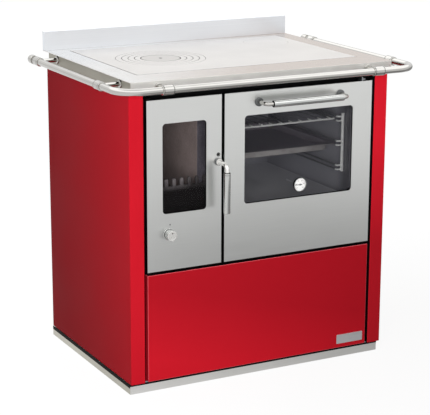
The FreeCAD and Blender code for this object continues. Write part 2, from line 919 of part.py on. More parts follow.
def hollow_frame(x0, x1, middle, opening_half, opening_low, opening_high, bosses):
    """A rear plate with a rim round its edge and round the window, and solid bosses."""
    fx0, fx1, fz0, fz1 = frame_limits(x0, x1)
    whole = block(fx0, fx1, skin_back, frame_rear, fz0, fz1)
    pocket = block(fx0 + frame_rim, fx1 - frame_rim, skin_back - over, frame_rear - frame_back,
                   fz0 + frame_rim, fz1 - frame_rim)
    w = window_rim
    keep = block(middle - opening_half - w, middle + opening_half + w, skin_back, frame_rear,
                 opening_low - w, opening_high + w)
    window = rounded_slab(middle - opening_half, middle + opening_half, opening_low, opening_high,
                          pane_corner, skin_back - over, frame_rear + over, "xz")
    return fuse([whole.cut(pocket), keep] + bosses).cut(window)


def boss(x, z, radius):
    return rod(radius, V(x, skin_back, z), V(x, frame_rear, z))


def across(x, z, radius, y0, y1):
    """A round bar or hole along Y."""
    return rod(radius, V(x, y0, z), V(x, y1, z))


def fire_pivot_x():
    return fire_right - fire_pivot_inset


def fire_pivot_z():
    return window_bottom + fire_pivot_rise


def knob_x():
    return fire_mid - fire_window_width / 2 + knob_window_inset


def knob_z():
    return window_bottom - knob_window_drop


def fire_door_skin():
    skin = door_skin(fire_left, fire_right, fire_mid, fire_window_width)
    y0 = front - over
    y1 = skin_back + over
    pivot = across(fire_pivot_x(), fire_pivot_z(), rod_diameter / 2 + hole_clearance, y0, y1)
    keyhole = across(fire_pivot_x(), fire_pivot_z() + keyhole_rise, keyhole_diameter / 2, y0, y1)
    knob = across(knob_x(), knob_z(), spindle_diameter / 2 + hole_clearance, y0, y1)
    pins = rod(pin_diameter / 2 + hole_clearance, V(fire_hinge_x(), fire_hinge_y(), door_bottom - over),
               V(fire_hinge_x(), fire_hinge_y(), door_top + over))
    return cut(skin, [pivot, keyhole, knob, pins])


def fire_hinge_x():
    return fire_left + fire_hinge_inset


def fire_hinge_y():
    return front + fire_hinge_setback


def fire_glass_half():
    return fire_window_width / 2 + fire_glass_overlap


def fire_door_frame():
    z = window_bottom - fire_glass_overlap - glass_clearance
    z1 = window_top + fire_glass_overlap + glass_clearance
    knob_boss = boss(knob_x(), knob_z(), spindle_diameter / 2 + boss_wall)
    pivot_boss = boss(fire_pivot_x(), fire_pivot_z(), rod_diameter / 2 + pivot_boss_wall)
    frame = hollow_frame(fire_left, fire_right, fire_mid, fire_glass_half() + glass_clearance, z, z1,
                         [knob_boss, pivot_boss])
    y0 = skin_back - over
    y1 = frame_rear + over
    tools = [across(fire_pivot_x(), fire_pivot_z(), rod_diameter / 2 + rod_clearance, y0, y1),
             across(knob_x(), knob_z(), spindle_diameter / 2 + rod_clearance, y0, y1),
             across(fire_pivot_x(), fire_pivot_z() + keyhole_rise, keyhole_diameter / 2, y0,
                    skin_back + keyhole_depth)]
    for number in range(air_hole_count):
        turn = 2 * math.pi * (number + 0.5) / air_hole_count
        x = knob_x() + air_hole_circle / 2 * math.cos(turn)
        hole_z = knob_z() + air_hole_circle / 2 * math.sin(turn)
        tools.append(across(x, hole_z, air_hole_diameter / 2, y0, y1))
    fx0, fx1, fz0, fz1 = frame_limits(fire_left, fire_right)
    r = pin_diameter / 2 + pin_clearance
    x = fire_hinge_x()
    y = fire_hinge_y()
    tools.append(rod(r, V(x, y, fz0 - over), V(x, y, fz0 + pin_engagement + pin_clearance)))
    tools.append(rod(r, V(x, y, fz1 - pin_engagement - pin_clearance), V(x, y, fz1 + over)))
    return cut(frame, tools)


def fire_door_glass():
    x = fire_glass_half()
    return rounded_slab(fire_mid - x, fire_mid + x, window_bottom - fire_glass_overlap,
                        window_top + fire_glass_overlap, pane_corner - glass_clearance,
                        skin_back, skin_back + glass_sheet, "xz")


def fire_glass_clips():
    s = clip_sheet
    clips = []
    for side, edge in ((1, window_bottom - fire_glass_overlap), (-1, window_top + fire_glass_overlap)):
        for x in (fire_mid - clip_row_width / 2, fire_mid + clip_row_width / 2):
            x0 = x - clip_width / 2
            x1 = x + clip_width / 2
            glass_y = skin_back + glass_sheet
            foot_z = edge - side * (glass_clearance + clip_tongue - s)
            parts = [(foot_z, edge + side * s, frame_rear, frame_rear + s),
                     (edge, edge + side * s, glass_y, frame_rear + s),
                     (edge, edge + side * clip_tongue, glass_y, glass_y + s)]
            folds = [block(x0, x1, y0, y1, min(z0, z1), max(z0, z1)) for z0, z1, y0, y1 in parts]
            clips.append(fuse(folds))
    return Part.makeCompound(clips)


def seal(x0, x1, z0, z1):
    """A closed loop of sealing rope round an opening."""
    m = seal_margin
    w = seal_width
    y1 = facade_y - seal_clearance
    outer = rounded_slab(x0 - m - w, x1 + m + w, z0 - m - w, z1 + m + w, seal_corner, frame_rear, y1, "xz")
    inner = rounded_slab(x0 - m, x1 + m, z0 - m, z1 + m, seal_corner - w / 2,
                         frame_rear - over, y1 + over, "xz")
    return outer.cut(inner)


def fire_door_seal():
    x0 = fire_left + fire_opening_inset
    return seal(x0, x0 + fire_opening_width, ash_floor + ash_sheet, fire_opening_top)


def fire_hinge_pins():
    x = fire_hinge_x()
    y = fire_hinge_y()
    fx0, fx1, fz0, fz1 = frame_limits(fire_left, fire_right)
    hinges = []
    for side, edge, end in ((-1, door_bottom, fz0 + pin_engagement), (1, door_top, fz1 - pin_engagement)):
        z0 = edge + side * hinge_strap_gap
        z1 = z0 + side * hinge_strap
        strap = block(fire_left, fire_left + hinge_strap_width, front + hinge_strap_front, facade_y,
                      min(z0, z1), max(z0, z1))
        pin = rod(pin_diameter / 2, V(x, y, min(z1, end)), V(x, y, max(z1, end)))
        hinges.append(fuse([strap, pin]))
    return Part.makeCompound(hinges)


# Fire door handle


def fire_handle_rod():
    x = fire_pivot_x()
    z = fire_pivot_z()
    y_out = front - fire_handle_reach
    y_in = frame_rear + cam_gap + cam_thickness
    low = z - fire_grip_top - fire_grip_length + grip_floor
    bar = bent_rod([V(x, y_in, z), V(x, y_out, z), V(x, y_out, low)], fire_handle_bend, rod_diameter / 2)
    y1 = front - fire_collar_gap
    return fuse([bar, across(x, z, fire_collar_diameter / 2, y1 - fire_collar_thickness, y1)])


def fire_handle_grip():
    x = fire_pivot_x()
    y = front - fire_handle_reach
    z1 = fire_pivot_z() - fire_grip_top
    z0 = z1 - fire_grip_length
    outside = rod(fire_grip_diameter / 2, V(x, y, z0), V(x, y, z1))
    return outside.cut(rod(rod_diameter / 2 + slip_clearance, V(x, y, z0 + grip_floor), V(x, y, z1 + over)))


def fire_latch_cam():
    x = fire_pivot_x()
    z = fire_pivot_z()
    y0 = frame_rear + cam_gap
    y1 = y0 + cam_thickness
    hub = across(x, z, cam_hub_diameter / 2, y0, y1)
    tongue = block(x, x + cam_reach, y0, y1, z - cam_width / 2, z + cam_width / 2)
    return fuse([hub, tongue]).cut(across(x, z, rod_diameter / 2 + slip_clearance, y0 - over, y1 + over))


def latch_keeper():
    x = fire_pivot_x() + cam_reach
    z = fire_pivot_z() + cam_width / 2 + keeper_clearance + keeper_stud_diameter / 2
    return across(x, z, keeper_stud_diameter / 2, frame_rear, facade_y)


# Air knob


def air_knob():
    x = knob_x()
    z = knob_z()
    y1 = front - knob_clearance
    y0 = front - knob_length
    neck = across(x, z, knob_skirt_diameter / 2, y0 + knob_head, y1)
    head = across(x, z, knob_diameter / 2, y0, y0 + knob_head)
    rims = [edge for edge in head.Edges if edge.BoundBox.YLength < same_place]
    head = head.makeChamfer(knob_chamfer, rims)
    spindle = across(x, z, spindle_diameter / 2, y0 + knob_head, frame_rear + cam_gap + air_disc_thickness)
    dot_z = z + knob_diameter / 2 - dot_diameter - knob_chamfer
    dot = across(x, dot_z, dot_diameter / 2, y0 - over, y0 + dot_depth)
    return fuse([neck, head, spindle]).cut(dot)


def air_disc():
    x = knob_x()
    y0 = frame_rear + cam_gap
    y1 = y0 + air_disc_thickness
    disc = across(x, knob_z(), air_disc_diameter / 2, y0, y1)
    return disc.cut(across(x, knob_z(), spindle_diameter / 2 + slip_clearance, y0 - over, y1 + over))


# Oven door


def oven_hinge_z():
    return door_bottom + oven_hinge_rise


def oven_hinge_places():
    """The middle of each hinge ear, along X."""
    return (oven_left + oven_hinge_inset, oven_right - oven_hinge_inset)


def hinge_notches():
    cuts = []
    for x in oven_hinge_places():
        w = ear_thickness / 2 + notch_clearance
        cuts.append(block(x - w, x + w, skin_back, frame_rear + over,
                          door_bottom - over, oven_hinge_z() + notch_rise))
    return cuts


def oven_handle_z():
    return door_top - oven_handle_drop


def dial_z():
    return window_bottom + dial_window_rise


def handle_feet():
    return (oven_mid - oven_handle_span / 2, oven_mid + oven_handle_span / 2)


def oven_door_skin():
    skin = door_skin(oven_left, oven_right, oven_mid, oven_window_width)
    r = oven_rod_diameter / 2 + hole_clearance
    feet = [across(x, oven_handle_z(), r, front - over, skin_back + over) for x in handle_feet()]
    return cut(skin, feet + hinge_notches())


def oven_glass_half():
    return oven_window_width / 2 + oven_glass_overlap


def oven_door_frame():
    r = oven_rod_diameter / 2
    bosses = [boss(x, oven_handle_z(), r + boss_wall) for x in handle_feet()]
    reach = oven_glass_half() + glass_clearance
    low = window_bottom - oven_glass_overlap - glass_clearance
    high = window_top + oven_glass_overlap + glass_clearance
    fx0, fx1, fz0, fz1 = frame_limits(oven_left, oven_right)
    whole = block(fx0, fx1, skin_back, frame_rear, fz0, fz1)
    pocket = block(fx0 + frame_rim, fx1 - frame_rim, skin_back - over, frame_rear - frame_back,
                   fz0 + frame_rim, fz1 - frame_rim)
    keep = block(oven_mid - reach - window_rim, oven_mid + reach + window_rim, skin_back, frame_rear,
                 low - window_rim, high + window_rim)
    frame = fuse([whole.cut(pocket), keep] + bosses)
    outer_pocket = rounded_slab(oven_mid - reach, oven_mid + reach, low, high, pane_corner,
                                skin_back - over, skin_back + glass_sheet, "xz")
    inner_pocket = rounded_slab(oven_mid - reach, oven_mid + reach, low, high, pane_corner,
                                frame_rear - glass_sheet, frame_rear + over, "xz")
    window = rounded_slab(oven_mid - oven_window_width / 2, oven_mid + oven_window_width / 2,
                          window_bottom, window_top, window_corner, skin_back, frame_rear, "xz")
    feet = [across(x, oven_handle_z(), r + slip_clearance, skin_back - over, front + rod_embed)
            for x in handle_feet()]
    pins = [rod(pin_diameter / 2 + slip_clearance, pin_end(x, -1), pin_end(x, 1))
            for x in oven_hinge_places()]
    return cut(frame, [outer_pocket, inner_pocket, window] + feet + pins + hinge_notches())


def pin_end(x, side):
    reach = ear_thickness / 2 + notch_clearance + pin_engagement
    return V(x + side * reach, front + oven_hinge_setback, oven_hinge_z())


def oven_hinge_pins():
    pins = [rod(pin_diameter / 2, pin_end(x, -1), pin_end(x, 1)) for x in oven_hinge_places()]
    return Part.makeCompound(pins)


def oven_hinge_bearings():
    y = front + oven_hinge_setback
    z = oven_hinge_z()
    ears = []
    for x in oven_hinge_places():
        w = ear_thickness / 2
        ear = block(x - w, x + w, y - ear_front_reach, facade_y, z - ear_height / 2, z + ear_height / 2)
        bore = rod(pin_diameter / 2 + pin_clearance, V(x - w - over, y, z), V(x + w + over, y, z))
        ears.append(ear.cut(bore))
    return Part.makeCompound(ears)


def oven_door_glass():
    x = oven_glass_half()
    panes = []
    for y0 in (skin_back, frame_rear - glass_sheet):
        pane = rounded_slab(oven_mid - x, oven_mid + x, window_bottom - oven_glass_overlap,
                            window_top + oven_glass_overlap, pane_corner - glass_clearance,
                            y0, y0 + glass_sheet, "xz")
        hole = across(oven_mid, dial_z(), probe_diameter / 2 + slip_clearance,
                      y0 - over, y0 + glass_sheet + over)
        panes.append(pane.cut(hole))
    return Part.makeCompound(panes)


def oven_door_seal():
    return seal(oven_box_left, oven_box_right, oven_bottom, oven_top)


def oven_handle_rod():
    x0, x1 = handle_feet()
    z = oven_handle_z()
    y_in = front + rod_embed
    y_out = front - oven_handle_reach
    return bent_rod([V(x0, y_in, z), V(x0, y_out, z), V(x1, y_out, z), V(x1, y_in, z)],
                    oven_handle_bend, oven_rod_diameter / 2)


def oven_handle_rosettes():
    rosettes = []
    for x in handle_feet():
        y0 = front - oven_rosette_thickness
        disc = across(x, oven_handle_z(), oven_rosette_diameter / 2, y0, front)
        bore = across(x, oven_handle_z(), oven_rod_diameter / 2 + slip_clearance, y0 - over, front + over)
        rosettes.append(disc.cut(bore))
    return Part.makeCompound(rosettes)


def oven_handle_grip():
    y = front - oven_handle_reach
    z = oven_handle_z()
    x0 = oven_mid - oven_grip_length / 2
    x1 = oven_mid + oven_grip_length / 2
    outside = rod(oven_grip_diameter / 2, V(x0, y, z), V(x1, y, z))
    return outside.cut(rod(oven_rod_diameter / 2 + slip_clearance, V(x0 - over, y, z), V(x1 + over, y, z)))


# Thermometer


def dial_face_y():
    return skin_back - dial_standoff - dial_case + dial_recess


def thermometer_case():
    x = oven_mid
    z = dial_z()
    y0 = skin_back - dial_standoff - dial_case
    y1 = skin_back - dial_standoff
    case = across(x, z, dial_diameter / 2, y0, y1)
    case = case.cut(across(x, z, dial_diameter / 2 - dial_rim, y0 - over, dial_face_y()))
    neck = across(x, z, dial_neck_diameter / 2, y1, skin_back)
    probe = across(x, z, probe_diameter / 2, skin_back, skin_back + probe_length)
    pin = across(x, z, needle_pin_diameter / 2, dial_face_y() - needle_gap - needle_sheet, dial_face_y())
    return fuse([case, neck, probe, pin])


def thermometer_needle():
    x = oven_mid
    z = dial_z()
    y1 = dial_face_y() - needle_gap
    y0 = y1 - needle_sheet
    hub = across(x, z, needle_hub_diameter / 2, y0, y1)
    pointer = block(x - needle_length, x, y0, y1, z - needle_width / 2, z + needle_width / 2)
    tail = block(x, x + needle_length / 3, y0, y1, z - needle_width, z + needle_width)
    bore = across(x, z, needle_pin_diameter / 2 + pin_clearance, y0 - over, y1 + over)
    return fuse([hub, pointer, tail]).cut(bore)


def oven_door_catch():
    x1 = oven_right - catch_inset + catch_width / 2
    x0 = x1 - catch_width
    z0 = door_top + catch_gap + catch_roller_diameter / 2
    y_roller = front + skin_return / 2
    z1 = z0 + catch_roller_diameter / 2 + catch_sheet
    arm = block(x0, x0 + catch_sheet, y_roller - catch_roller_diameter / 2, facade_y,
                door_top + 2 * catch_gap, z1)
    axle = rod(catch_sheet / 2, V(x0, y_roller, z0), V(x0 + catch_sheet + catch_roller_width, y_roller, z0))
    roller = rod(catch_roller_diameter / 2, V(x0 + catch_sheet, y_roller, z0),
                 V(x0 + catch_sheet + catch_roller_width, y_roller, z0))
    return fuse([arm, axle, roller])


# Wood drawer


def drawer_box_bottom():
    return panel_bottom + drawer_box_rise


def drawer_box_top():
    return drawer_top - drawer_box_drop


def drawer_box_half():
    return (oven_right - fire_left) / 2 - drawer_box_inset


def drawer_front():
    s = drawer_sheet
    whole = block(fire_left, oven_right, front, front + drawer_return, drawer_bottom, drawer_top)
    room = block(fire_left + s, oven_right - s, front + s, front + drawer_return + over,
                 drawer_bottom + s, drawer_top - s)
    return whole.cut(room)


def drawer_box():
    s = drawer_sheet
    m = drawer_apron_margin
    y0 = front + drawer_return
    x = drawer_box_half()
    y1 = back - drawer_box_rear_gap
    z0 = drawer_box_bottom()
    z1 = drawer_box_top()
    apron = block(fire_left + s / 2, oven_right - s / 2, y0, y0 + s, drawer_bottom + m, drawer_top - m)
    whole = block(-x, x, y0, y1, z0, z1)
    room = block(-x + s, x - s, y0 + s, y1 - s, z0 + s, z1 + over)
    return fuse([apron, whole.cut(room)])


def drawer_runners():
    w = runner_wall
    y0 = front + runner_front
    x0 = -drawer_box_half() + runner_inset - runner_width / 2
    x1 = x0 + runner_width
    z1 = drawer_box_bottom() - runner_gap
    whole = block(x0, x1, y0, y0 + runner_length, panel_bottom, z1)
    room = block(x0 + w, x1 + over, y0 - over, y0 + runner_length + over, panel_bottom + w, z1 - w)
    return both_sides(whole.cut(room))


def badge_plate():
    x0 = oven_right - badge_margin - badge_width
    z0 = drawer_bottom + badge_rise
    return rounded_slab(x0, x0 + badge_width, z0, z0 + badge_height, badge_corner,
                        front - badge_sheet, front, "xz")


nodes = {
    "plinth": plinth(),
    "base_plate": base_plate(),
    "side_panel_left": side_panel_left(),
    "side_panel_right": mirrored(side_panel_left()),
    "rear_panel": rear_panel(),
    "front_frame": front_frame(),
    "hob_frame": hob_frame(),
    "hob_skirt": hob_skirt(),
    "splash_back": splash_back(),
    "cooking_plate": cooking_plate(),
    "hob_ring_outer": hob_ring(4),
    "hob_ring_third": hob_ring(3),
    "hob_ring_second": hob_ring(2),
    "hob_ring_inner": hob_ring(1),
    "centre_lid": centre_lid(),
    "flue_cover": flue_cover(),
    "handrail": handrail(),
    "rail_tees": rail_tees(),
    "rail_rosettes": rail_rosettes(),
    "rail_end_caps": rail_end_caps(),
    "oven_box": oven_box(),
    "oven_ladders": oven_ladders(),
    "oven_shelf": oven_shelf(),
    "baking_tray": baking_tray(),
    "firebox_shell": firebox_shell(),
    "fire_lining_sides": fire_lining_sides(),
    "fire_lining_back": fire_lining_back(),
    "fire_grate": fire_grate(),
    "log_guard": log_guard(),
    "ash_pan": ash_pan(),
    "smoke_box": smoke_box(),
    "flue_spigot": flue_spigot(),
    "fire_door_skin": fire_door_skin(),
    "fire_door_frame": fire_door_frame(),
    "fire_door_glass": fire_door_glass(),
    "fire_glass_clips": fire_glass_clips(),
    "fire_door_seal": fire_door_seal(),
    "fire_hinge_pins": fire_hinge_pins(),
    "fire_handle_rod": fire_handle_rod(),
    "fire_handle_grip": fire_handle_grip(),
    "fire_latch_cam": fire_latch_cam(),
    "latch_keeper": latch_keeper(),
    "air_knob": air_knob(),
    "air_disc": air_disc(),
    "oven_door_skin": oven_door_skin(),
    "oven_door_frame": oven_door_frame(),
    "oven_door_glass": oven_door_glass(),
    "oven_door_seal": oven_door_seal(),
    "oven_hinge_pins": oven_hinge_pins(),
    "oven_hinge_bearings": oven_hinge_bearings(),
    "oven_handle_rod": oven_handle_rod(),
    "oven_handle_rosettes": oven_handle_rosettes(),
    "oven_handle_grip": oven_handle_grip(),
    "oven_door_catch": oven_door_catch(),
    "thermometer_case": thermometer_case(),
    "thermometer_needle": thermometer_needle(),
    "drawer_front": drawer_front(),
    "drawer_box": drawer_box(),
    "drawer_runners": drawer_runners(),
    "badge_plate": badge_plate(),
}

for name, shape in nodes.items():
    shape.exportStep("parts/" + name + ".step")
    print(name, len(shape.Solids), "solid", round(shape.Volume), "mm3", "valid", shape.isValid())
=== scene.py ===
import json
from math import atan2, cos, pi, radians, sin

import bmesh
import bpy
from mathutils import Matrix, Vector


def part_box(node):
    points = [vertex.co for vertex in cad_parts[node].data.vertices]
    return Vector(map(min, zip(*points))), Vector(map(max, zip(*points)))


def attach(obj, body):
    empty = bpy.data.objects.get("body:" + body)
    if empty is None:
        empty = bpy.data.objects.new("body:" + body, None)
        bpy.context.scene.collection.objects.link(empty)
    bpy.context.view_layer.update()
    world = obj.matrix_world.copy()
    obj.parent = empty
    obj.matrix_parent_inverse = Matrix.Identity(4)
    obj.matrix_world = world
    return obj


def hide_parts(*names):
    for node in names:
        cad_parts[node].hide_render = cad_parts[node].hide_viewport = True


# Wood-burning cooking stove, dressed round its CAD model. Metres, X right, Y to the back, Z up.

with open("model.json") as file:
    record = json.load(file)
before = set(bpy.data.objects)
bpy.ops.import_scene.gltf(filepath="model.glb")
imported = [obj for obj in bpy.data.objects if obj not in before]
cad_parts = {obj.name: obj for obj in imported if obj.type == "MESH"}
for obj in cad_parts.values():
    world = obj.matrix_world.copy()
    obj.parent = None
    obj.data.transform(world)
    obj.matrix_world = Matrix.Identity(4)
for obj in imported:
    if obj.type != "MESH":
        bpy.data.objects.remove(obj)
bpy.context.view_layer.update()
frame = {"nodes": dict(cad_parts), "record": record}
cadNodes = frame["nodes"]
bodyOf = {node: body for body, nodes in frame["record"]["behaviour"]["bodies"].items() for node in nodes}
slotOf = {part["node"]: part["material_slot"] for part in frame["record"]["subparts"]}
mm = 0.001
hair = 0.1 * mm  # a face within this of a level counts as lying on it
print("stage 1: CAD frame loaded,", len(cadNodes), "nodes")


# Finishes

noiseLow, noiseHigh = noiseReach = (0.35, 0.65)  # most values of a noise lie between these


def hexColour(code):
    channels = [int(code[i:i + 2], 16) / 255 for i in (1, 3, 5)]
    linear = [c / 12.92 if c <= 0.04045 else ((c + 0.055) / 1.055) ** 2.4 for c in channels]
    return (*linear, 1.0)


def perMetre(sizeMm):
    return 1000 / sizeMm  # scale of a pattern whose features have that size


def grains(place, sizeMm, detail):
    return {"Scale": perMetre(sizeMm), "Detail": detail, "Vector": place}


def feed(tree, node, inputs):
    # a number or hex colour sets its socket; a socket, or a node for its first output, is linked to it
    for socket, value in inputs.items():
        if hasattr(value, "outputs"):
            value = value.outputs[0]
        if isinstance(value, bpy.types.NodeSocket):
            tree.links.new(value, node.inputs[socket])
        else:
            node.inputs[socket].default_value = hexColour(value) if isinstance(value, str) else value
    return node


def addNode(tree, kind, inputs=None, **choices):
    node = tree.nodes.new("ShaderNode" + kind)
    for name, value in choices.items():
        setattr(node, name, value)
    return feed(tree, node, inputs or {})


def startFinish(name, shader):
    finish = bpy.data.materials.new(name)
    finish.use_nodes = True
    tree = finish.node_tree
    feed(tree, tree.nodes["Principled BSDF"], shader)
    return finish, tree, addNode(tree, "TexCoord").outputs["Object"]


# Inputs by number: a MapRange takes its value as 0 and its ends as 1 and 2, and gives 3 to 4, or else 0 to 1;
# a Mix takes its factor as 0, and leads from colour 6 to colour 7

def dress(finish, blend, first, second, spots=None, rough=None, height=None, relief=None, reach=noiseReach):
    # blend leads from the first tone to the second, spots from a low roughness to a high one,
    # and height raises the surface by relief's strength and depth in mm
    tree = finish.node_tree
    tone = addNode(tree, "Mix", {0: blend, 6: first, 7: second}, data_type="RGBA")
    skin = {"Base Color": tone.outputs[2]}
    if rough:
        skin["Roughness"] = addNode(tree, "MapRange", {0: spots, 1: reach[0], 2: reach[1], 3: rough[0], 4: rough[1]})
    if relief:
        skin["Normal"] = addNode(tree, "Bump", {"Strength": relief[0], "Distance": relief[1] * mm, "Height": height})
    feed(tree, tree.nodes["Principled BSDF"], skin)
    return finish


# Powder-coated steel sheet: an even satin red that softens reflections, with faint orange peel
coatLook = {
    "light": "#c81c2a", "deep": "#be1725", "patchMm": 220, "peelMm": 2.4, "cloud": 0.12,
    # the drawer, side and pillar tones are painted light and shade: the drawer darkens towards its upper right, the
    # sides lighten towards the front and top, the pillars towards the top
    "drawer": {"near": "#c71b29", "far": "#ab1622", "lean": (0.95, 0, 4.0), "from": 0.06, "to": 0.85},
    "side": {"near": "#b01824", "far": "#d61f2e", "lean": (0, -0.9, 0.6), "from": -0.1, "to": 0.65},
    "pillar": {"near": "#b11925", "far": "#e92131", "lean": (0, 0, 1.0), "from": 0.34, "to": 0.64},
}


def powderCoat(name, lean=None):
    look = coatLook
    finish, tree, place = startFinish(name, {"Specular IOR Level": 0.02})
    patches = addNode(tree, "TexNoise", grains(place, look["patchMm"], 2.0))
    peel = addNode(tree, "TexNoise", grains(place, look["peelMm"], 2.0))
    blend, near, far = patches, look["deep"], look["light"]
    if lean:
        # painted light and shade: the colour of a wide panel runs from its near tone to its far tone along one way
        across = addNode(tree, "VectorMath", {0: place, 1: lean["lean"]}, operation="DOT_PRODUCT").outputs["Value"]
        cloudy = addNode(tree, "Math", {0: patches, 1: look["cloud"], 2: across}, operation="MULTIPLY_ADD")
        low, high = (lean[end] + look["cloud"] / 2 for end in ("from", "to"))
        blend, near, far = addNode(tree, "MapRange", {0: cloudy, 1: low, 2: high}), lean["near"], lean["far"]
    return dress(finish, blend, near, far, patches, (0.39, 0.45), peel, (0.12, 0.05))


# Stainless sheet brushed along one way: long soft streaks, no sharp mirror image
def brushedStainless(name, light, dark, rough, grain, lineMm=1.4, lengthMm=160, cloudMm=260, relief=0.03):
    finish, tree, place = startFinish(name, {"Metallic": 1.0})
    squeeze = [perMetre(lengthMm if axis == grain else lineMm) for axis in "xyz"]
    along = addNode(tree, "Mapping", {"Scale": squeeze, "Vector": place})
    lines = addNode(tree, "TexNoise", {"Scale": 1.0, "Detail": 3.0, "Roughness": 0.6, "Vector": along})
    clouds = addNode(tree, "TexNoise", grains(place, cloudMm, 2.0))
    streaks = addNode(tree, "Math", {0: lines, 1: 0.45}, operation="MULTIPLY")
    both = addNode(tree, "Math", {0: clouds, 1: 0.55, 2: streaks}, operation="MULTIPLY_ADD")
    blend = addNode(tree, "MapRange", {0: both, 1: noiseLow, 2: noiseHigh})
    return dress(finish, blend, dark, light, lines, (rough - 0.03, rough + 0.03), lines, (relief, 0.03))


# Polished stainless hob sheet: nearly a mirror, with a warm cast over its front and right margins
def warmedStainless(name, cool, warm, rough):
    finish, tree, place = startFinish(name, {"Metallic": 1.0})
    turned = addNode(tree, "Mapping", {"Rotation": (0, 0, radians(35)), "Vector": place})
    across = addNode(tree, "SeparateXYZ", {0: turned}).outputs["X"]
    haze = addNode(tree, "TexNoise", grains(place, 180, 3.0))
    lines = addNode(tree, "TexNoise", grains(place, 1.2, 2.0))
    shifted = addNode(tree, "Math", {0: haze, 1: 0.25, 2: across}, operation="MULTIPLY_ADD")
    blend = addNode(tree, "MapRange", {0: shifted, 1: -0.12, 2: 0.22})
    return dress(finish, blend, cool, warm, lines, (rough - 0.02, rough + 0.03))


# Ground steel plate: hot-rolled and surface-ground, pale with fine crossing arcs and a slight warm tint
def groundPlate(name, light, dark, rough):
    finish, tree, place = startFinish(name, {"Metallic": 1.0})
    arcs = addNode(tree, "TexWave", {"Scale": perMetre(9.0) / 2, "Distortion": 6.0, "Detail": 3.0,
                                     "Detail Scale": 2.0, "Vector": place},
                   wave_type="RINGS", rings_direction="Z").outputs["Fac"]
    grit = addNode(tree, "TexNoise", grains(place, 1.6, 4.0))
    clouds = addNode(tree, "TexNoise", grains(place, 140, 3.0))
    both = addNode(tree, "Math", {0: arcs, 1: 0.2, 2: clouds}, operation="MULTIPLY_ADD")
    blend = addNode(tree, "MapRange", {0: both, 1: 0.35, 2: 0.85})
    return dress(finish, blend, dark, light, grit, (rough - 0.05, rough + 0.06), grit, (0.12, 0.03))


# Plated oven wire: white-bright at the door as painted light, and painted darker further in as painted shade
def platedWire(name, node, shineMm):
    finish, tree, place = startFinish(name, {"Metallic": 0.1})
    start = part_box(node)[0].y + shineMm * mm
    depth = addNode(tree, "SeparateXYZ", {0: place}).outputs["Y"]
    grain = addNode(tree, "TexNoise", grains(place, 6, 3.0))
    shadeBehind = addNode(tree, "MapRange", {0: depth, 1: start, 2: start + 4 * mm})
    return dress(finish, shadeBehind, "#fdfefd", "#77787c", grain, (0.26, 0.34))


# Zinc-coated sheet: grey with the flat crystal patches of hot dipping
def zincSheet():
    finish, tree, place = startFinish("galvanisedSheet", {"Metallic": 1.0})
    crystals = addNode(tree, "TexVoronoi", {"Scale": perMetre(16), "Vector": place})
    grey = addNode(tree, "SeparateColor", {"Color": crystals.outputs["Color"]})
    return dress(finish, grey, "#989c9f", "#b7bbbd", grey.outputs[1], (0.38, 0.52), reach=(0.0, 1.0))


# Cast iron: sand-cast grain, nearly black, with pale dry ash on the guard's finger tips
def castIron():
    finish, tree, place = startFinish("sandCastIron", {"Roughness": 0.85, "Specular IOR Level": 0.02})
    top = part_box("log_guard")[1].z
    # the sand's real grain is too fine to show, so it is drawn coarser
    sand = addNode(tree, "TexNoise", grains(place, 9, 2.0))
    dust = addNode(tree, "TexNoise", grains(place, 25, 4.0))
    spot = addNode(tree, "SeparateXYZ", {0: place}).outputs
    tips = addNode(tree, "MapRange", {0: spot["Z"], 1: top - 34 * mm, 2: top - 6 * mm})
    inward = addNode(tree, "MapRange", {0: spot["X"], 1: -0.215, 2: -0.18, 3: 1.0, 4: 0.3})
    thick = addNode(tree, "MapRange", {0: dust, 1: noiseLow, 2: noiseHigh, 3: 0.7, 4: 1.0})
    dusty = addNode(tree, "Math", {0: inward, 1: thick}, operation="MULTIPLY")
    ashy = addNode(tree, "Math", {0: tips, 1: dusty}, operation="MULTIPLY")
    return dress(finish, ashy, "#181617", "#8d8688", height=sand, relief=(0.1, 0.3))


# Pressed vermiculite board: flaky beige, browned by smoke
def vermiculite(name, light, dark, smoke):
    finish, tree, place = startFinish(name, {"Roughness": 0.95})
    flakes = addNode(tree, "TexVoronoi", {"Scale": perMetre(3.5), "Vector": place})
    soot = addNode(tree, "TexNoise", grains(place, 90, 5.0))
    flake = addNode(tree, "SeparateColor", {"Color": flakes.outputs["Color"]})
    stone = addNode(tree, "Mix", {0: flake, 6: dark, 7: light}, data_type="RGBA").outputs[2]
    share = addNode(tree, "MapRange", {0: soot, 1: noiseLow, 2: noiseHigh, 3: 0.0, 4: 0.6})
    return dress(finish, share, stone, smoke, height=flakes, relief=(0.4, 0.4))


# Vitreous enamel: smooth grey glass on steel with small pale specks, plain at the mouth in a tone that is painted
# light and shade: darker on the oven's walls, lighter on its floor
def speckledEnamel(name, base, specked, mouth):
    finish, tree, place = startFinish(name, {"Roughness": 0.22, "Coat Weight": 0.4, "Coat Roughness": 0.08})
    specks = addNode(tree, "TexVoronoi", {"Scale": perMetre(5.0), "Randomness": 1.0, "Vector": place})
    dots = addNode(tree, "MapRange", {0: specks, 1: 0.10, 2: 0.16, 3: 1.0, 4: 0.0})
    depth = addNode(tree, "SeparateXYZ", {0: place}).outputs["Y"]
    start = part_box("oven_box")[0].y
    # painted light and shade: the mouth's tone fades out between 25 and 70 mm behind the oven's front
    inside = addNode(tree, "MapRange", {0: depth, 1: start + 25 * mm, 2: start + 70 * mm})
    clean = addNode(tree, "Mix", {0: dots, 6: base, 7: specked}, data_type="RGBA").outputs[2]
    return dress(finish, inside, mouth, clean)


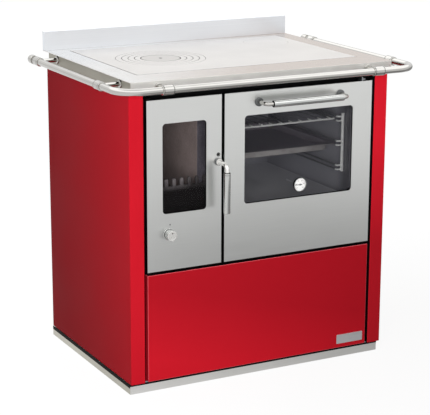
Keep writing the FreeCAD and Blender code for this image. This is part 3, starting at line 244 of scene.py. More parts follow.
# Ceramic-glass fire window and tinted oven window: thin clear panes that mostly show what is behind them,
# with a faint mirror image and a light haze of handling
def paneGlass(name, tint, haze, cover):
    finish, tree, place = startFinish(name, {"IOR": 1.5, "Alpha": cover, "Specular IOR Level": 0.25,
                                             "Base Color": tint})
    smear = addNode(tree, "TexNoise", grains(place, 110, 3.0))
    gloss = addNode(tree, "MapRange", {0: smear, 1: noiseLow, 2: noiseHigh, 3: 0.02, 4: haze})
    feed(tree, tree.nodes["Principled BSDF"], {"Roughness": gloss})
    return finish


# Braided glass-fibre rope: grey, crossed strands about 3 mm wide
def glassRope():
    finish, tree, place = startFinish("braidedGlassRope", {"Roughness": 0.9})
    turned = addNode(tree, "Mapping", {"Rotation": (0, radians(45), 0), "Vector": place})
    weave = addNode(tree, "TexChecker", {"Scale": perMetre(3.0), "Vector": turned}).outputs["Fac"]
    return dress(finish, weave, "#3a3a38", "#575753", height=weave, relief=(0.5, 0.4))


# One noise of a given grain makes each of the next four
def grained(name, light, dark, grainMm, detail, shader, rough=None, relief=None):
    finish, tree, place = startFinish(name, shader)
    grain = addNode(tree, "TexNoise", grains(place, grainMm, detail))
    return dress(finish, grain, dark, light, grain, rough, grain, relief)


# Polished tube and turned fittings: bright, nearly a mirror, with faint polishing haze
def polishedMetal(name, light, dark, rough):
    return grained(name, light, dark, 70, 2.0, {"Metallic": 1.0}, (rough, rough + 0.03))


# Satin skin on steel or enamel: pale and slightly grained, so that it catches light where a mirror would go dark
def paleSatin(name, light, dark, metal, rough, grainMm):
    return grained(name, light, dark, grainMm, 3.0, {"Metallic": metal}, (rough - 0.04, rough + 0.04))


# Stove paint, steel darkened by heat or oil, and painted shade in the hob's gaps: matt, with a fine sprayed grain
def stovePaint(name, light, dark, rough, grainMm):
    return grained(name, light, dark, grainMm, 4.0, {"Specular IOR Level": 0.08}, (rough - 0.06, rough + 0.08),
                   (0.25, 0.08))


# Dial lacquer, ink, painted marks and a painted highlight along a coat's edge: smooth, with hardly any fleck
def inkOrLacquer(name, light, dark, rough):
    return grained(name, light, dark, 4, 2.0, {"Roughness": rough})


finishes = {
    "red_enamel": powderCoat("powderCoatedSteel"),
    "black_paint": stovePaint("heatProofBlackPaint", "#0d0d0e", "#070708", 0.6, 1.5),
    "door_steel": brushedStainless("brushedStainlessDoor", "#e5e6e4", "#e0e1df", 0.31, "x", relief=0.008),
    "hob_steel": warmedStainless("polishedStainlessSheet", "#ebeae8", "#c8bab0", 0.2),
    "plate_steel": groundPlate("groundSteelPlate", "#dddad7", "#d5d2cf", 0.36),
    "chrome": polishedMetal("polishedSteelTube", "#c9c8c4", "#bdbbb7", 0.10),
    "grip_steel": polishedMetal("satinSteelGrip", "#d2d3d1", "#c8cac8", 0.17),
    "zinc_sheet": zincSheet(),
    "plinth_steel": brushedStainless("satinStainlessPlinth", "#eae9e6", "#dfdedb", 0.42, "x"),
    "stove_steel": stovePaint("heatDarkenedSteel", "#46444a", "#333136", 0.62, 5.0),
    "cast_iron": castIron(),
    "firebrick": vermiculite("vermiculiteBoard", "#c2b0ac", "#b09d9a", "#887978"),
    "fire_glass": paneGlass("clearFireGlass", "#151414", 0.08, 0.12),
    "oven_glass": paneGlass("tintedOvenGlass", "#1b1b20", 0.06, 0.12),
    "seal_rope": glassRope(),
    "oven_enamel": speckledEnamel("speckledEnamel", "#a4a4ac", "#c8c8ce", "#69686e"),
    "wire_chrome": platedWire("platedLadderWire", "oven_ladders", 10),
    "needle_paint": inkOrLacquer("blackNeedlePaint", "#17171a", "#0f0f11", 0.4),
    "badge_metal": brushedStainless("anodisedBlankPlate", "#ecebed", "#dddcde", 0.34, "x", 0.8, 60, 60),
}
# Finishes of single pieces and faces
own = {
    "drawerCoat": powderCoat("powderCoatedDrawer", coatLook["drawer"]),
    "sideCoat": powderCoat("powderCoatedSide", coatLook["side"]),
    "pillarCoat": powderCoat("powderCoatedPillar", coatLook["pillar"]),
    "rubbedCoat": inkOrLacquer("rubbedCoatEdge", "#d9505a", "#c93c48", 0.4),
    "plinthSide": brushedStainless("dullStainlessPlinthSide", "#cbc8bd", "#c0bdb2", 0.42, "y"),
    "ringEdge": stovePaint("oiledBlackEdge", "#3a3734", "#252321", 0.5, 3.0),
    "lid": groundPlate("groundLidSteel", "#cbc8c5", "#c2bfbc", 0.42),
    "shelfWire": platedWire("platedShelfWire", "oven_shelf", 14),
    "paleFloor": speckledEnamel("wipedPaleEnamel", "#f0f0f4", "#f8f8fa", "#fafafc"),
    "tray": paleSatin("paleTrayEnamel", "#a8a5a4", "#918d8c", 0.0, 0.3, 30),
    "bakedTray": paleSatin("bakedTrayInside", "#a39ca6", "#918b94", 0.0, 0.4, 30),
    "fascia": paleSatin("satinFoldedEdge", "#f2f0ec", "#e8e6e2", 0.5, 0.34, 40),
    "buffedRod": paleSatin("buffedRodSteel", "#f0efec", "#e6e5e2", 0.65, 0.18, 20),
    "probe": paleSatin("heatDulledProbe", "#b9b9be", "#a9a9ae", 0.0, 0.45, 8),
    "knobFace": paleSatin("turnedKnobFace", "#dcdbd8", "#cfcecb", 0.6, 0.3, 12),
    "sootyBoard": vermiculite("sootyVermiculiteBoard", "#6c6770", "#5a5660", "#3a373e"),
    "darkSteel": polishedMetal("shadedSteelSide", "#7d7f80", "#67696a", 0.3),
    "splash": brushedStainless("brightBrushedSplash", "#f7fafe", "#f0f3f8", 0.40, "x", 1.0, 240, 300),
    # painted shade: the skirt under the hob's overhang is a darker copy of the stainless
    "skirt": brushedStainless("dullRolledSkirt", "#b3b0a5", "#a3a095", 0.45, "y", 1.2, 200, 200),
    "dialWhite": inkOrLacquer("whiteDialLacquer", "#dbdbd9", "#d3d3d0", 0.45),
    "dialInk": inkOrLacquer("blackDialInk", "#1c1c1e", "#141416", 0.5),
    "dialLens": paneGlass("flatDialLens", "#f4f4f4", 0.05, 0.06),
    "mark": inkOrLacquer("darkMarkPaint", "#3a3b3c", "#2c2d2e", 0.5),
}
black = finishes["black_paint"]
for node, cadPiece in cadNodes.items():
    for socket in cadPiece.material_slots:
        socket.material = finishes[slotOf[node]]
print("stage 2:", len(finishes) + len(own), "finishes made")


# Making pieces

foldAngle = radians(32)  # edges sharper than this stay crisp, and get broken where asked
weld = 1e-6


def at(x, y, z):
    return Vector((x, y, z)) * mm


def addObject(name, data):
    made = bpy.data.objects.new(name, data)
    bpy.context.scene.collection.objects.link(made)
    return made


def meshFrom(name, bm):
    mesh = bpy.data.meshes.new(name)
    bm.to_mesh(mesh)
    bm.free()
    return mesh


def breakEdges(piece, widthMm, segments):
    edge = piece.modifiers.new("brokenEdges", "BEVEL")
    edge.width = widthMm * mm
    edge.segments = segments
    edge.limit_method = "ANGLE"
    edge.angle_limit = foldAngle
    edge.harden_normals = True


def keepPiece(name, bm, finish, body, stands=(), softEdge=0.0):
    mesh = meshFrom(name, bm)
    for face in mesh.polygons:
        face.use_smooth = True
    mesh.set_sharp_from_angle(angle=foldAngle)
    mesh.materials.append(finish)
    piece = addObject(name, mesh)
    if softEdge:
        breakEdges(piece, softEdge, 2)
    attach(piece, body)
    if stands:
        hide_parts(*stands)
    return piece


def standFor(node, bm, finish=None, softEdge=0.0):
    # a piece that takes a CAD node's place, on its body and in its slot's finish
    first, *rest = node.split("_")
    name = first + "".join(word.title() for word in rest)
    slotName = slotOf[node]
    return keepPiece(name, bm, finish or finishes[slotName], bodyOf[node], [node], softEdge)


def sheetFromCad(node, softEdge, finish=None):
    # a merged copy of the CAD sheet, so that its folded edges can be softened
    bm = bmesh.new()
    bm.from_mesh(cadNodes[node].data)
    bmesh.ops.remove_doubles(bm, verts=bm.verts, dist=weld)
    bmesh.ops.dissolve_limit(bm, angle_limit=radians(0.4), use_dissolve_boundaries=False,
                             verts=bm.verts, edges=bm.edges, delimit={"NORMAL"})
    return standFor(node, bm, finish, softEdge)


def paint(piece, finish, test):
    # the faces that pass the test get a finish of their own
    piece.data.materials.append(finish)
    for face in piece.data.polygons:
        if test(face):
            face.material_index = len(piece.data.materials) - 1


def looks(face, facing):
    return face.normal.dot(Vector(facing)) > 0.9


def turn(bm, outline, centre, axis, steps, closed=False):
    # outline is (radius, height) in mm, from one end to the other
    along = Vector(axis).normalized()
    side = along.orthogonal().normalized()
    centre = Vector(centre)
    points = [bm.verts.new(centre + side * (r * mm) + along * (h * mm)) for r, h in outline]
    ends = points[1:] + (points[:1] if closed else [])
    lines = [bm.edges.new(pair) for pair in zip(points, ends)]
    bmesh.ops.spin(bm, geom=points + lines, cent=centre, axis=along, dvec=(0, 0, 0), angle=2 * pi,
                   steps=steps, use_merge=True, use_duplicate=False)
    bmesh.ops.remove_doubles(bm, verts=bm.verts, dist=weld)
    bmesh.ops.recalc_face_normals(bm, faces=bm.faces)


def rimAndEdges(made):
    return ([item for item in made if isinstance(item, bmesh.types.BMVert)],
            [item for item in made if isinstance(item, bmesh.types.BMEdge)])


def bentTube(bm, start, heading, radius, route, sides):
    # runs and bends are made as a pipe bender does: a circle pushed straight, then swung round each bend
    here = Vector(start)
    heading = Vector(heading).normalized()
    turned = heading.to_track_quat("Z", "Y").to_matrix().to_4x4()
    rim = bmesh.ops.create_circle(bm, cap_ends=False, segments=sides, radius=radius * mm,
                                  matrix=Matrix.Translation(here) @ turned)["verts"]
    edges = list({edge for vert in rim for edge in vert.link_edges})
    bmesh.ops.edgenet_fill(bm, edges=edges)
    for kind, *how in route:
        if kind == "run":
            step = heading * (how[0] * mm)
            rim, edges = rimAndEdges(bmesh.ops.extrude_edge_only(bm, edges=edges)["geom"])
            bmesh.ops.translate(bm, verts=rim, vec=step)
            here = here + step
        else:
            bendRadius, towards, degrees, steps = how
            towards = Vector(towards).normalized()
            hub = here + towards * (bendRadius * mm)
            axle = heading.cross(towards)
            rim, edges = rimAndEdges(bmesh.ops.spin(
                bm, geom=edges + rim, cent=hub, axis=axle, dvec=(0, 0, 0), angle=radians(degrees),
                steps=steps, use_merge=False, use_duplicate=False)["geom_last"])
            swing = Matrix.Rotation(radians(degrees), 3, axle)
            here = hub + swing @ (here - hub)
            heading = swing @ heading
        edges = [edge for edge in edges if edge.verts[0] in rim and edge.verts[1] in rim]
    bmesh.ops.edgenet_fill(bm, edges=edges)
    bmesh.ops.recalc_face_normals(bm, faces=bm.faces)


def box(bm, low, high):
    low, high = Vector(low), Vector(high)
    place = Matrix.Translation((high + low) / 2) @ Matrix.Diagonal((*(high - low), 1))
    bmesh.ops.create_cube(bm, size=1.0, matrix=place)


def cutRound(piece, holes):
    # holes are (x, y, radius mm, low z, high z), drilled with exact round cutters
    for x, y, radius, low, high in holes:
        bm = bmesh.new()
        bmesh.ops.create_cone(bm, cap_ends=True, segments=144, radius1=radius * mm, radius2=radius * mm,
                              depth=high - low, matrix=Matrix.Translation((x, y, (low + high) / 2)))
        cutter = addObject("cutter", meshFrom("cutter", bm))
        drill = piece.modifiers.new("drill", "BOOLEAN")
        drill.object = cutter
        drill.solver = "EXACT"
        bpy.context.view_layer.update()
        drilled = bpy.data.meshes.new_from_object(piece.evaluated_get(bpy.context.evaluated_depsgraph_get()))
        piece.modifiers.remove(drill)
        piece.data = drilled
        mesh = cutter.data
        bpy.data.objects.remove(cutter)
        bpy.data.meshes.remove(mesh)


# Sheets and inner pieces that keep the CAD's shape

edgeWidths = {
    "plinth": 0.6, "base_plate": 0.4, "side_panel_left": 0.4, "side_panel_right": 0.4, "rear_panel": 0.3,
    "front_frame": 0.5, "hob_frame": 0.6, "hob_skirt": 0.4, "splash_back": 0.8,
    "oven_box": 0.4, "baking_tray": 0.3, "firebox_shell": 0.4, "fire_lining_sides": 1.2, "fire_lining_back": 1.2,
    "fire_grate": 1.0, "log_guard": 1.5, "ash_pan": 0.3, "smoke_box": 0.3, "flue_spigot": 0.4,
    "fire_door_skin": 1.1, "fire_door_frame": 0.5, "fire_door_glass": 0.4, "fire_glass_clips": 0.3,
    "fire_door_seal": 2.4, "fire_hinge_pins": 0.4, "fire_latch_cam": 0.4, "latch_keeper": 0.4, "air_disc": 0.4,
    "oven_door_skin": 1.1, "oven_door_frame": 0.5, "oven_door_glass": 0.4, "oven_door_seal": 2.4,
    "oven_hinge_pins": 0.3, "oven_hinge_bearings": 0.4, "oven_door_catch": 0.5, "drawer_front": 1.5,
    "drawer_box": 0.3, "drawer_runners": 0.3, "badge_plate": 0.25, "oven_ladders": 0, "oven_shelf": 0,
}
# the fire door's hinge pins are painted black: painted shade in the gap at the door's corner
ownFinish = {"splash_back": own["splash"], "hob_skirt": own["skirt"], "fire_hinge_pins": black,
             "oven_shelf": own["shelfWire"], "baking_tray": own["tray"], "drawer_front": own["drawerCoat"]}
sheets = {node: sheetFromCad(node, width, ownFinish.get(node)) for node, width in edgeWidths.items()}
smallFace = 1e-5  # square metres, the walls of holes and folds
pillarBack, ovenFloorTop = -0.2, 0.5
ovenWindowEdge = (0.2, 0.325)
trayMiddle = sum(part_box("baking_tray"), Vector()) / 2

# folded returns that only face a gap are painted black: painted shade in the gap, on the drawer's top return the
# shade under the doors
for node, facing in (("side_panel_left", (1, 0, 0)), ("side_panel_right", (-1, 0, 0)), ("drawer_front", (0, 0, 1))):
    paint(sheets[node], black, lambda face: looks(face, facing) and face.area > smallFace)

for node, finish, facing, test in (
        # painted light: the side panels' outer faces and the right pillar's front lighten towards the front and top
        ("side_panel_left", "sideCoat", (-1, 0, 0), None),
        ("side_panel_right", "sideCoat", (1, 0, 0), None),
        ("side_panel_right", "pillarCoat", (0, -1, 0), lambda spot: spot.y < pillarBack),
        # painted shade: the plinth's sides take a darker, warmer copy of its stainless
        ("plinth", "plinthSide", (-1, 0, 0), None),
        ("plinth", "plinthSide", (1, 0, 0), None),
        # the side linings' front faces take a darker, greyer copy of the board
        ("fire_lining_sides", "sootyBoard", (0, -1, 0), None),
        # painted light: the window's side wall in the black door frame takes the oven's grey enamel
        ("oven_door_frame", "oven_enamel", (-1, 0, 0), lambda spot: ovenWindowEdge[0] < spot.x < ovenWindowEdge[1]),
        # painted light: the oven's floor takes a near-white copy of its enamel
        ("oven_box", "paleFloor", (0, 0, 1), lambda spot: spot.z < ovenFloorTop),
        # painted shade: the tray's inside, its far walls and rims take a shaded copy of its enamel
        ("baking_tray", "bakedTray", (0, 0, 1), None),
        ("baking_tray", "bakedTray", (0, -1, 0), lambda spot: spot.y > trayMiddle.y),
        ("baking_tray", "bakedTray", (-1, 0, 0), lambda spot: spot.x > trayMiddle.x)):
    paint(sheets[node], own.get(finish) or finishes[finish],
          lambda face: looks(face, facing) and (test is None or test(face.center)))
# painted highlight: the drawer front's broken edges take a paler red
sheets["drawer_front"].data.materials.append(own["rubbedCoat"])
sheets["drawer_front"].modifiers["brokenEdges"].material = 2

plinthStrip = {"sideMm": 10.5, "frontMm": 5.6, "proudMm": 0.3, "endMm": 0.5}


def paintedShadowGapStrip():
    # a black strip round the plinth's top: painted shadow in the gap between body and plinth
    low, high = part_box("plinth")
    side, front, proud, end = (plinthStrip[key] * mm for key in ("sideMm", "frontMm", "proudMm", "endMm"))
    bm = bmesh.new()
    for x in (low.x, high.x):
        box(bm, (x - proud, low.y + end, high.z - side), (x + proud, high.y - end, high.z))
    box(bm, (low.x - proud, low.y - proud, high.z - front), (high.x + proud, low.y + end, high.z))
    keepPiece("plinthStrip", bm, black, "stove")


paintedShadowGapStrip()
print("stage 3:", len(sheets), "sheet and inner pieces dressed")


# Cooking plate, rings and covers

hob = {
    "top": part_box("hob_frame")[1].z, "plateMm": 8, "lipMm": 4, "ringSteps": [125, 107.5, 90, 72.5, 55],
    "gapMm": 0.4, "seatMm": 6, "footMm": 0.4, "groove": 0.6, "lidGroove": 1.1, "brokenEdge": 0.12,
    "plateShift": 1.2, "coverMm": 66.5, "lifterMm": 4, "lifterDepth": 4.5, "lifterRim": 0.8, "sides": 144,
}


def centreOf(node):
    low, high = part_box(node)
    return (low + high) / 2


def outerStep(outer, ease):
    # the stepped outside of a ring, mm above the plate's underside; its top is eased back from its neighbour
    top, lip, rim, foot = hob["plateMm"], hob["lipMm"], hob["brokenEdge"], hob["footMm"]
    low = outer - hob["seatMm"] - hob["gapMm"]
    wide = outer - ease
    return [(low - foot, 0), (low, foot), (low, lip), (wide, lip), (wide, top - rim), (wide - rim, top)]


def innerStep(inner, ease):
    top, lip, rim = hob["plateMm"], hob["lipMm"], hob["brokenEdge"]
    bore, seat = inner + hob["gapMm"] + ease, inner - hob["seatMm"]
    return [(bore + rim, top), (bore, top - rim), (bore, lip), (seat, lip), (seat, 0)]


def lifterRecess():
    top, r, rim, d = hob["plateMm"], hob["lifterMm"], hob["lifterRim"], hob["lifterDepth"]
    return [(r + rim, top), (r, top - rim), (r, top - d), (0, top - d)]


def darkenEdges(piece):
    # every face but the ground top is painted dark: painted shade in the gaps round rings, lid and plate
    paint(piece, own["ringEdge"], lambda face: face.center.z < hob["top"] - hair)


def hobRound(node, outline, finish, closed):
    bm = bmesh.new()
    middle = centreOf(node)
    turn(bm, outline, (middle.x, middle.y, hob["top"] - hob["plateMm"] * mm), (0, 0, 1), hob["sides"], closed)
    return standFor(node, bm, finish)


def cookingPlate():
    low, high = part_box("cooking_plate")
    bm = bmesh.new()
    box(bm, low + Vector((hob["plateShift"] * mm, 0, 0)), high)
    plate = standFor("cooking_plate", bm)
    lip = hob["top"] - hob["lipMm"] * mm
    past, into = 10 * mm, 1 * mm
    holes = []
    for node, radius in (("hob_ring_outer", hob["ringSteps"][0]), ("flue_cover", hob["coverMm"])):
        spot = centreOf(node)
        holes.append((spot.x, spot.y, radius + hob["gapMm"], lip, hob["top"] + past))
        holes.append((spot.x, spot.y, radius - hob["seatMm"], low.z - past, lip + into))
    cutRound(plate, holes)
    plate.data.set_sharp_from_angle(angle=foldAngle)
    breakEdges(plate, hob["brokenEdge"], 1)
    darkenEdges(plate)


def hobSheetEdges(piece):
    # the step that the plate lies in is painted dark, as painted shade in the gap round the plate; the folded outer
    # edges get a pale satin skin, as painted light
    low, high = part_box("cooking_plate")
    room = 10 * mm

    def inSeat(face):
        x, y, z = face.center
        return z < hob["top"] - hair and low.x - room < x < high.x + room and low.y - room < y < high.y + room

    paint(piece, own["ringEdge"], inSeat)
    outerLow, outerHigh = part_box("hob_frame")
    skin = 1 * mm

    def isFolded(face):
        x, y, z = face.center
        atRim = y < outerLow.y + skin or x < outerLow.x + skin or x > outerHigh.x - skin
        return abs(face.normal.z) < 0.5 and atRim

    paint(piece, own["fascia"], isFolded)


hobSheetEdges(sheets["hob_frame"])
cookingPlate()
groove, lidGroove = hob["groove"], hob["lidGroove"]
rings = ("hob_ring_outer", "hob_ring_third", "hob_ring_second", "hob_ring_inner")
for i, node in enumerate(rings):
    outer, inner = hob["ringSteps"][i:i + 2]
    bore = innerStep(inner, lidGroove if node == rings[-1] else groove)
    darkenEdges(hobRound(node, outerStep(outer, groove) + bore, None, True))
lidOutline = [(0, 0)] + outerStep(hob["ringSteps"][-1], lidGroove) + lifterRecess()
darkenEdges(hobRound("centre_lid", lidOutline, own["lid"], False))
hobRound("flue_cover", [(0, 0)] + outerStep(hob["coverMm"], 0) + [(0, hob["plateMm"])], None, False)
print("stage 4: cooking plate, rings and covers")


# Handrail

rail = {
    "radius": 9.5, "bend": 62, "bendSteps": 24, "side": 445, "front": -320.75, "end": 286.25, "height": 834.5,
    "sleeve": 12.45, "sleeveLength": 33, "sleeveRim": 1.0, "groove": 1.4, "grooveDepth": 0.8, "slip": 0.06,
    "post": 6, "rosette": 11, "rosetteThick": 4, "rosetteMouth": 0.4, "capLength": 20, "capDome": 5, "capNeck": 0.7,
    "sidePosts": (-186.75, 239.25), "frontPosts": 316, "skirt": 387, "fascia": -267.25,
}


def handrail():
    bm = bmesh.new()
    r = rail
    side, length, bendSteps = r["side"], r["end"] - r["front"] - r["bend"], r["bendSteps"]
    bentTube(bm, at(-side, r["end"], r["height"]), (0, -1, 0), r["radius"],
             [("run", length), ("bend", r["bend"], (1, 0, 0), 90, bendSteps), ("run", 2 * (side - r["bend"])),
              ("bend", r["bend"], (0, 1, 0), 90, bendSteps), ("run", length)], 40)
    standFor("handrail", bm)


def railPosts():
    # for each post: the middle of its sleeve, the way that the tube runs, and its foot on the wall
    r, z = rail, rail["height"]
    posts = []
    for side in (-1, 1):
        for y in r["sidePosts"]:
            posts.append((at(side * r["side"], y, z), Vector((0, 1, 0)), at(side * r["skirt"], y, z)))
        x = side * r["frontPosts"]
        posts.append((at(x, r["front"], z), Vector((1, 0, 0)), at(x, r["fascia"], z)))
    return posts


def railTees():
    r = rail
    wide, rim, width = r["sleeve"], r["sleeveRim"], r["groove"]
    half, bore, deep = r["sleeveLength"] / 2, r["radius"] + r["slip"], wide - r["grooveDepth"]
    ring = half - 2 * width
    right = [(wide, ring - width / 2), (deep, ring - width / 2), (deep, ring + width / 2), (wide, ring + width / 2),
             (wide, half - rim), (wide - 0.4, half - 0.3), (wide - rim, half), (bore, half)]
    outline = [(a, -b) for a, b in reversed(right)] + right
    neck, step = r["post"], wide - r["radius"]  # the post flares where it meets its sleeve
    bm = bmesh.new()
    for middle, way, wall in railPosts():
        turn(bm, outline, middle, way, 48, True)
        heading = (wall - middle).normalized()
        end = (wall - middle).length / mm - r["radius"] - 0.5
        post = [(0, 0), (neck + 2.4, 0), (neck + 2.2, step - 0.2), (neck + 0.9, step + 1.4), (neck, step + 3.2),
                (neck, end), (0, end)]
        turn(bm, post, middle + heading * (r["radius"] + 0.5) * mm, heading, 40)
    piece = standFor("rail_tees", bm)

    def inGroove(face):
        for middle, way, wall in railPosts():
            offset = face.center - middle
            along = offset.dot(way)
            if abs(abs(along) - ring * mm) < (width / 2 + 0.01) * mm and (offset - way * along).length < wide * mm:
                return True
        return False

    paint(piece, black, inGroove)  # painted shade in the two ring grooves


def rosetteOutline(wide, thick, rod, mouth):
    return [(0, 0), (wide, 0), (wide, thick - 2), (wide - 0.6, thick - 0.7), (wide - 2, thick), (rod + mouth, thick),
            (rod + 0.1, thick - 0.4), (0, thick - 0.4)]


def railRosettes():
    bm = bmesh.new()
    outline = rosetteOutline(rail["rosette"], rail["rosetteThick"], rail["post"], rail["rosetteMouth"])
    for middle, way, wall in railPosts():
        turn(bm, outline, wall, (middle - wall).normalized(), 48)
    standFor("rail_rosettes", bm)


def railEndCaps():
    bm = bmesh.new()
    r = rail
    wide, neck, length, swell = r["sleeve"], r["sleeve"] - r["capNeck"], r["capLength"], r["capDome"]
    dome = [(wide - swell * (1 - cos(radians(a))), length + swell * sin(radians(a))) for a in range(0, 91, 15)]
    outline = [(r["radius"] + r["slip"], 0), (wide - 0.8, 0), (wide, 0.8), (wide, 4.4), (neck, 4.8), (neck, 6.2),
               (wide, 6.6)] + dome + [(0, length + swell), (0, 0)]
    for side in (-1, 1):
        turn(bm, outline, at(side * r["side"], r["end"] - length, r["height"]), (0, 1, 0), 48)
    standFor("rail_end_caps", bm)


handrail()
railTees()
railRosettes()
railEndCaps()
print("stage 5: handrail")


# Fire door handle and air knob

fireHandle = {
    "x": -134.5, "z": 616.5, "front": -250.75, "back": -229.25, "reach": 50, "bend": 16, "rod": 6, "slip": 0.06,
    "grip": 9, "gripTop": 19.5, "gripLength": 111, "ferrule": 7, "ferruleDepth": 0.7,
    "collar": 10, "collarThick": 7, "collarGap": 0.5, "keyhole": 636, "keyholeMm": 7.4, "flangeMm": 10.6,
}


def fireHandleRod():
    h = fireHandle
    bm = bmesh.new()
    out = h["back"] - (h["front"] - h["reach"]) - h["bend"]
    down = h["gripTop"] + h["gripLength"] - 3 - h["bend"]
    bentTube(bm, at(h["x"], h["back"], h["z"]), (0, -1, 0), h["rod"],
             [("run", out), ("bend", h["bend"], (0, 0, -1), 90, 14), ("run", down)], 32)
    wide, thick, face0 = h["collar"], h["collarThick"], h["front"] - h["collarGap"]
    collar = [(0, 0), (wide - 0.5, 0), (wide, 0.5), (wide, thick - 1.6), (wide - 0.5, thick - 0.5),
              (wide - 1.6, thick), (h["rod"] - 0.5, thick)]
    turn(bm, collar, at(h["x"], face0, h["z"]), (0, -1, 0), 48)
    # painted light: the rod and collar take a pale satin steel in place of chrome
    piece = standFor("fire_handle_rod", bm, own["buffedRod"])

    def onCollar(face):
        away = Vector((face.center.x - h["x"] * mm, 0, face.center.z - h["z"] * mm)).length
        return face.center.y > (face0 - thick - 0.1) * mm and away > (h["rod"] + 0.3) * mm

    # painted shade and light: the collar's side takes the shaded steel, its front face the lit face finish
    paint(piece, own["darkSteel"], onCollar)
    paint(piece, own["knobFace"], lambda face: onCollar(face) and face.normal.y < -0.5)


def blackGripEnds(piece, along):
    # each open end of a grip is painted black
    paint(piece, black, lambda face: abs(face.normal.dot(Vector(along))) > 0.6)


def fireHandleGrip():
    h = fireHandle
    bm = bmesh.new()
    length, wide, bore = h["gripLength"], h["grip"], h["rod"] + h["slip"]
    neck, groove = length - h["ferrule"], wide - h["ferruleDepth"]
    outline = [(0, 0), (wide - 2, 0), (wide - 0.6, 0.6), (wide, 2), (wide, neck), (groove, neck + 0.4),
               (groove, neck + 1.4), (wide, neck + 1.8), (wide, length - 1.2), (wide - 1.2, length),
               (bore, length), (bore, length - 1.5), (0, length - 1.5)]
    turn(bm, outline, at(h["x"], h["front"] - h["reach"], h["z"] - h["gripTop"] - length), (0, 0, 1), 48)
    blackGripEnds(standFor("fire_handle_grip", bm), (0, 0, 1))


knob = {
    "x": -282, "z": 436.5, "front": -250.75, "length": 25, "head": 20.5, "radius": 14, "skirt": 16,
    "chamfer": 1.2, "gap": 1.0, "spindle": 4, "spindleEnd": 19.5, "flutes": 24, "fluteDepth": 0.55,
    "fluteRim": 0.25, "dot": 1.5, "dotHeight": 7, "mark": 1.9, "markAbove": 25, "markAside": 5,
}


def airKnob():
    k = knob
    bm = bmesh.new()
    start = at(k["x"], k["front"] - k["length"], k["z"])
    r, head, chamfer, skirt, length = k["radius"], k["head"], k["chamfer"], k["skirt"], k["length"]
    neck, spindle, end = head - 1.6, k["spindle"], length + k["spindleEnd"]
    outline = [(0, 0.5), (r - 4.2, 0.5), (r - 3.6, 0), (r - chamfer, 0), (r - 0.3, 0.4), (r, chamfer), (r, neck),
               (r - 1.2, head - 1.2), (r - 1.2, head), (skirt - 0.8, head), (skirt, head + 0.8),
               (skirt, length - k["gap"]), (spindle, length - k["gap"]), (spindle, end - 0.4), (0, end)]
    turn(bm, outline, start, (0, 1, 0), k["flutes"] * 4)

    def isSide(face):
        x, y, z = face.calc_center_median() - start
        return abs(y - (chamfer + neck) / 2 * mm) < 1.5 * mm and Vector((x, 0, z)).length > (r - 0.4) * mm

    def roundAxis(face):
        x, y, z = face.calc_center_median() - start
        return atan2(z, x)

    # finger flutes: every fourth strip of the head is let in
    strips = sorted((face for face in bm.faces if isSide(face)), key=roundAxis)
    bmesh.ops.inset_individual(bm, faces=strips[::4], thickness=k["fluteRim"] * mm, depth=-k["fluteDepth"] * mm)
    piece = standFor("air_knob", bm)

    def isFluted(face):
        x, y, z = face.center - start
        return 1.5 * mm < y < head * mm and Vector((x, 0, z)).length < (r - 0.2) * mm

    # painted light and shade: the flutes take the shaded steel, the face the lit face finish, and the neck behind the
    # head is black as painted shade
    paint(piece, own["darkSteel"], isFluted)
    paint(piece, own["knobFace"], lambda face: face.normal.y < -0.9 and face.center.y - start.y < 1 * mm)
    paint(piece, black, lambda face: (head - 1.7) * mm < face.center.y - start.y < (head - 0.1) * mm)


def knobMarks():
    # the dot on the knob's face, and the painted mark on the door above it
    k = knob
    bm = bmesh.new()
    spot = at(k["x"], k["front"] - k["length"], k["z"]) + at(0, -0.0001, k["dotHeight"])
    turn(bm, [(0, 0.45), (k["dot"], 0.45), (k["dot"], 0.7), (0, 0.7)], spot, (0, 1, 0), 24)
    keepPiece("knobDot", bm, own["mark"], "air_control")
    bm = bmesh.new()
    spot = at(k["x"] + k["markAside"], k["front"], k["z"] + k["markAbove"])
    turn(bm, [(0, -0.06), (k["mark"], -0.06), (k["mark"], 0.3), (0, 0.3)], spot, (0, 1, 0), 24)
    keepPiece("airMark", bm, own["mark"], "fire_door")


def keyholeLiner():
    # painted shade: a black disc fills the keyhole and rings its mouth on the door
    h = fireHandle
    bm = bmesh.new()
    bore, flange = h["keyholeMm"] / 2, h["flangeMm"] / 2
    outline = [(0, 0.9), (bore - 0.4, 0.9), (bore - 0.2, -0.5), (flange - 0.3, -0.5), (flange, -0.3), (flange, 0),
               (bore, 0), (bore, 1.2), (0, 1.2)]
    turn(bm, outline, at(h["x"], h["front"] + 0.15, h["keyhole"]), (0, 1, 0), 32)
    keepPiece("keyholeLiner", bm, black, "fire_door")


keyholeLiner()
fireHandleRod()
fireHandleGrip()
airKnob()
knobMarks()
print("stage 6: fire door handle and air knob")


# Oven door handle and thermometer

ovenHandle = {
    "x": 113.5, "z": 767, "front": -250.75, "span": 254, "reach": 45, "bend": 16, "rod": 5.5, "embed": 10,
    "slip": 0.06, "grip": 9.5, "gripLength": 218, "rosette": 12, "rosetteThick": 5, "rosetteMouth": 0.5,
}


def ovenHandleRod():
    h = ovenHandle
    bm = bmesh.new()
    out = h["embed"] + h["reach"] - h["bend"]
    bentTube(bm, at(h["x"] - h["span"] / 2, h["front"] + h["embed"], h["z"]), (0, -1, 0), h["rod"],
             [("run", out), ("bend", h["bend"], (1, 0, 0), 90, 14), ("run", h["span"] - 2 * h["bend"]),
              ("bend", h["bend"], (0, 1, 0), 90, 14), ("run", out)], 32)
    standFor("oven_handle_rod", bm)


